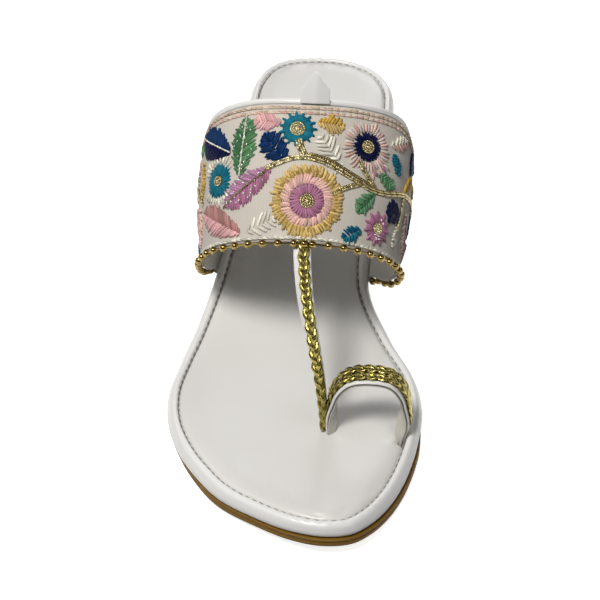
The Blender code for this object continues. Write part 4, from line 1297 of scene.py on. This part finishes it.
leafChart = (                   # base, tip, breadth, colour of each side, sweep, fill, lobes, vein
    ((-9.2, 45.2), (-19.8, 46.6), 7.2, ("pink", "pink"), 0.7, 1.5, 0, None),
    ((3.6, 45.8), (13.4, 45.6), 7.2, ("ochre", "mustard"), 0.6, 1.5, 3, None),
    ((-7.0, 30.4), (-16.4, 41.4), 10.0, ("darkBlue", "darkBlue"), 0.5, 1.7, 0, None),
    ((-30.0, 35.4), (-50.5, 46.0), 12.0, ("navy", "darkBlue"), 0.55, 1.7, 0, "cream"),
    ((-25.6, 25.4), (-22.6, 49.4), 10.6, ("leafGreen", "green"), 0.7, 1.35, 0, "chalk"),
    ((-12.4, 28.0), (-33.6, 14.4), 11.0, ("mauve", "lilac"), 0.75, 1.45, 0, "antique"),
    ((-26.0, 3.6), (-49.5, 16.2), 10.4, ("pink", "rose"), 0.75, 1.5, 0, None),
    ((-24.0, 3.8), (-10.4, 8.8), 7.6, ("cream", "chalk"), 0.9, 0.7, 0, None),
    ((12.4, 31.4), (4.6, 41.0), 7.6, ("cream", "cream"), 0.85, 0.8, 0, None),
    ((29.0, 30.6), (37.8, 26.6), 5.6, ("seaGreen", "green"), 0.65, 1.3, 0, None),
    ((28.0, 22.4), (21.2, 13.6), 6.6, ("seaGreen", "seaGreen"), 0.7, 1.25, 0, "leafGreen"),
    ((41.0, 32.4), (35.8, 40.4), 5.0, ("teal", "deepTeal"), 0.5, 1.4, 0, None),
    ((24.4, 7.6), (16.8, 2.6), 6.4, ("teal", "deepTeal"), 0.6, 1.3, 3, None),
    ((45.6, 17.2), (35.2, 18.4), 9.0, ("navy", "navy"), 0.6, 1.7, 2, None),
    ((45.6, 26.6), (56.0, 36.4), 5.6, ("ochre", "mustard"), 0.6, 1.2, 0, None),
    ((53.0, 36.6), (56.5, 47.0), 6.0, ("navy", "darkBlue"), 0.5, 1.7, 0, None),
    ((33.4, 42.4), (46.0, 47.6), 6.0, ("cream", "palePink"), 0.9, 0.75, 0, None),
    ((44.8, 14.2), (42.8, 4.6), 3.8, ("cream", "chalk"), 0.5, 1.2, 0, None),
    ((-48.5, 36.0), (-51.0, 21.0), 5.4, ("ochre", "mustard"), 0.6, 1.1, 0, None),
    ((-53.4, 19.0), (-55.6, 3.4), 6.4, ("palePink", "blush"), 0.65, 1.2, 0, None),
    ((-52.4, 40.6), (-59.8, 45.0), 4.8, ("seaGreen", "green"), 0.65, 1.2, 0, None),
    ((-60.6, 4.8), (-71.6, 5.6), 5.8, ("teal", "deepTeal"), 0.5, 1.3, 0, None),
    ((-70.0, 20.0), (-84.0, 26.0), 7.4, ("leafGreen", "green"), 0.7, 1.35, 0, "chalk"),
    ((-61.6, 21.6), (-70.2, 11.0), 4.4, ("pink", "palePink"), 0.7, 1.0, 0, None),
    ((-77.0, 29.6), (-85.6, 34.0), 5.4, ("navy", "darkBlue"), 0.5, 1.7, 0, None),
    ((-85.6, 4.2), (-91.4, 11.6), 5.0, ("mustard", "ochre"), 0.6, 1.2, 3, None),
    ((-87.0, 17.6), (-92.6, 26.0), 5.4, ("salmon", "rose"), 0.7, 1.3, 0, None),
    ((51.6, 21.8), (54.6, 4.6), 6.6, ("rose", "blush"), 0.65, 1.2, 0, None),
    ((59.6, 11.6), (72.0, 6.4), 6.4, ("pink", "salmon"), 0.7, 1.2, 0, "rose"),
    ((62.0, 31.0), (73.0, 38.0), 6.0, ("mustard", "ochre"), 0.6, 1.2, 3, None),
    ((78.0, 8.0), (80.0, 28.0), 7.6, ("leafGreen", "green"), 0.7, 1.35, 0, "chalk"),
    ((73.4, 29.4), (83.0, 33.0), 6.0, ("navy", "darkBlue"), 0.5, 1.7, 0, None),
    ((60.4, 41.0), (68.0, 44.4), 4.8, ("seaGreen", "green"), 0.65, 1.2, 0, None),
    ((86.4, 6.0), (92.0, 15.0), 5.4, ("salmon", "rose"), 0.7, 1.3, 0, None),
    ((86.6, 27.4), (92.4, 20.0), 4.8, ("teal", "deepTeal"), 0.5, 1.3, 0, None),
)
cordChart = (                   # points along and across, rows of cord, colour
    (((-14.5, 27.4), (-9.0, 29.6), (-4.5, 31.2), (1.1, 31.7)), (0.0, 0.9), "paleGold"),
    (((0.4, 31.7), (7.2, 30.1), (14.2, 27.1), (20.2, 24.9), (25.3, 23.1), (32.7, 23.1), (47.0, 26.6),
      (58.0, 27.0)), (0.0, 0.95), "gold"),
    (((2.0, 33.4), (8.4, 32.0), (15.0, 29.0), (21.0, 26.6), (26.6, 24.8)), (0.0, -0.8), "antique"),
    (((-2.6, 38.4), (-1.6, 35.0), (-0.2, 32.4)), (-0.9, 0.0, 0.9), "paleGold"),
    (((20.0, 32.6), (23.0, 28.4), (27.3, 24.3)), (0.0, 0.85), "gold"),
    (((10.8, 18.6), (15.8, 21.6), (20.6, 23.8)), (0.0, 0.85), "gold"),
    (((46.0, 26.0), (45.6, 20.0), (43.8, 12.7)), (0.0,), "gold"),
    (((-50.0, 20.6), (-57.0, 26.0), (-61.5, 29.5)), (0.0, 0.85), "gold"),
    (((-70.5, 29.0), (-76.0, 22.0), (-79.5, 18.0)), (0.0,), "gold"),
    (((58.0, 27.0), (62.0, 24.6), (63.6, 23.2)), (0.0,), "gold"),
)
speckChart = (                  # silver specks over a leaf: base, tip, breadth, count
    ((-25.6, 26.0), (-22.6, 48.0), 8.0, 26), ((-13.5, 27.0), (-32.5, 15.0), 8.0, 24),
    ((31.9, 5.0), (31.9, 14.0), 9.0, 8), ((2.0, 32.4), (25.0, 24.4), 4.4, 9),
)
borderChart = (                 # distance from the edge, edge, colours in turn
    (1.5, "rear", ("beige", "blush", "beige")),
    (3.4, "rear", ("blush", "palePink", "beige", "blush")),
    (1.4, "front", ("chalk", "cream", "chalk")),
)


def sewChart():
    for fromEdge, edge, colours in borderChart:
        sewChain(fromEdge, edge, colours)
    for base, tip, breadth, colours, sweep, fill, lobes, vein in leafChart:
        sewLeaf(base, tip, breadth, colours, sweep, fill, lobes, vein)
    for centre, colours, inner, outer, low, high, pitch in sprayChart:
        count = int(math.radians(high - low) * (inner + outer) / 2 / pitch / sprayLook["spacing"])
        for n, angle in enumerate(np.radians(np.linspace(low, high, count, endpoint=False))):
            reach = outer * (1.0 + sprayLook["ragged"] * rng.uniform(-1.0, 1.0))
            start, end = polar(centre, inner, angle), polar(centre, reach, angle)
            sew("floss", start, end, sprayLook["width"], colours[n % len(colours)])
    for centre, knot, rings in flowerChart:
        for n, (colour, inner, outer, width, lean) in enumerate(rings):
            sewRing(centre, colour, inner, outer, width, lean, 0.04 + 0.02 * n, 0.1 + 0.1 * n)
        sewKnot(centre, knot, "gold")
    for centre, knot, colour, inner, outer, petals in petalChart:
        sewPetals(centre, colour, inner, outer, petals)
        sewKnot(centre, knot, "paleGold")
    for points, rows, colour in cordChart:
        layCord(points, rows, colour)
    for base, tip, breadth, count in speckChart:
        base, tip = np.array(base), np.array(tip)
        beside = np.array((base[1] - tip[1], tip[0] - base[0])) / np.linalg.norm(tip - base)
        for along, side, turn in rng.uniform((0.05, -0.5, 0.0), (0.95, 0.5, math.pi), (count, 3)):
            spot = base + (tip - base) * along + beside * side * breadth * math.sin(math.pi * along)
            reach = np.array((math.cos(turn), math.sin(turn))) * speckLook["half"]
            sew("zari", spot - reach, spot + reach, speckLook["width"], "silver", speckLook["lift"],
                speckLook["height"])


def makeEmbroidery(kind, name, material):
    rows = embroidery[kind]
    numbers = np.array([row[:7] for row in rows])
    start, end = numbers[:, :2], numbers[:, 2:4]
    limit = widthAt(end[:, 0]) - grainLook["fromEdge"]
    end[:, 1] = np.clip(end[:, 1], grainLook["fromEdge"], limit)
    t = grainStops[None, :, None]
    chart = start[:, None] * (1 - t) + end[:, None] * t
    bow = numbers[:, 6:7] + grainLook["bow"] * (4 * grainStops * (1 - grainStops))[None]
    rails, out = onBand(chart[..., 0], chart[..., 1], bow)
    up = out[:, 2]
    across = unit(np.cross(up, rails[:, -1] - rails[:, 0]))
    colours = dyed([row[7] for row in rows])
    mesh = grainMesh(name, rails, across, up, numbers[:, 4], numbers[:, 5], colours)
    addPiece(name, mesh, material, sharpDeg=180)
    print(name, len(rows), "stitches")


sewChart()
makeEmbroidery("floss", "floss_embroidery", rayonFloss)
makeEmbroidery("zari", "gold_cord_work", zariThread)

# Seam stitches: round the insole and on the lining

seamLook = {
    "inset": 5.36, "height": 5.35, "pitch": 3.2, "stitch": 2.0, "width": 0.44,
    "liningAcross": 43.5, "liningSpan": 4.2, "liningPitch": 2.0, "liningStitch": 1.4,
    "paleFrom": 22.0,           # paler thread over the last stretch of the heel
}


def seamRow(line, up, pitch, stitch):
    run = runOf(line)
    starts = np.arange(pitch / 2, run[-1] - stitch, pitch)
    stops = starts[:, None] + stitch * grainStops
    rails = np.stack([np.interp(stops, run, column) for column in line.T], axis=2)
    out = unit(np.stack([np.interp(starts, run, column) for column in up.T], axis=1))
    return rails, out


def makeSeams():
    ring = soleRing(seamLook["inset"], sole["outsoleThick"] + seamLook["height"])
    ring = np.vstack((ring, ring[:1]))
    rows = [seamRow(ring, np.tile((0.0, 0.0, 1.0), (len(ring), 1)), seamLook["pitch"], seamLook["stitch"])]
    along = np.linspace(-seamLook["liningSpan"], seamLook["liningSpan"], 40)
    place, out = onBand(along, np.full(len(along), seamLook["liningAcross"]), -bandLook["thick"])
    rows.append(seamRow(place, -out, seamLook["liningPitch"], seamLook["liningStitch"]))
    rails = np.concatenate([row[0] for row in rows])
    up = np.concatenate([row[1] for row in rows])
    across = unit(np.cross(up, rails[:, -1] - rails[:, 0]))
    wide = np.full(len(rails), seamLook["width"])
    heelY = sole["length"] / 2 - seamLook["paleFrom"]
    greys = np.where(rails[:, 0, 1] > heelY, "seamPale", "seamGrey")
    mesh = grainMesh("seam_stitches", rails, across, up, wide, wide * 0.8, dyed(greys, 0.25))
    addPiece("seam_stitches", mesh, seamThread, sharpDeg=180)


makeSeams()
print("seams made")

# Floor

floorMesh = bmesh.new()
bmesh.ops.create_grid(floorMesh, x_segments=2, y_segments=2, size=floorLook["half"] * mm)
bmesh.ops.translate(floorMesh, verts=floorMesh.verts, vec=(0.0, 0.0, -floorLook["drop"] * mm))
floorData = bpy.data.meshes.new("floor")
floorMesh.to_mesh(floorData)
floorMesh.free()
floorData.materials.append(paleFloor())
floor = bpy.data.objects.new("floor", floorData)
bpy.context.scene.collection.objects.link(floor)
floor.visible_diffuse = False   # the shoe is lit by the lamps, not by the bright sweep
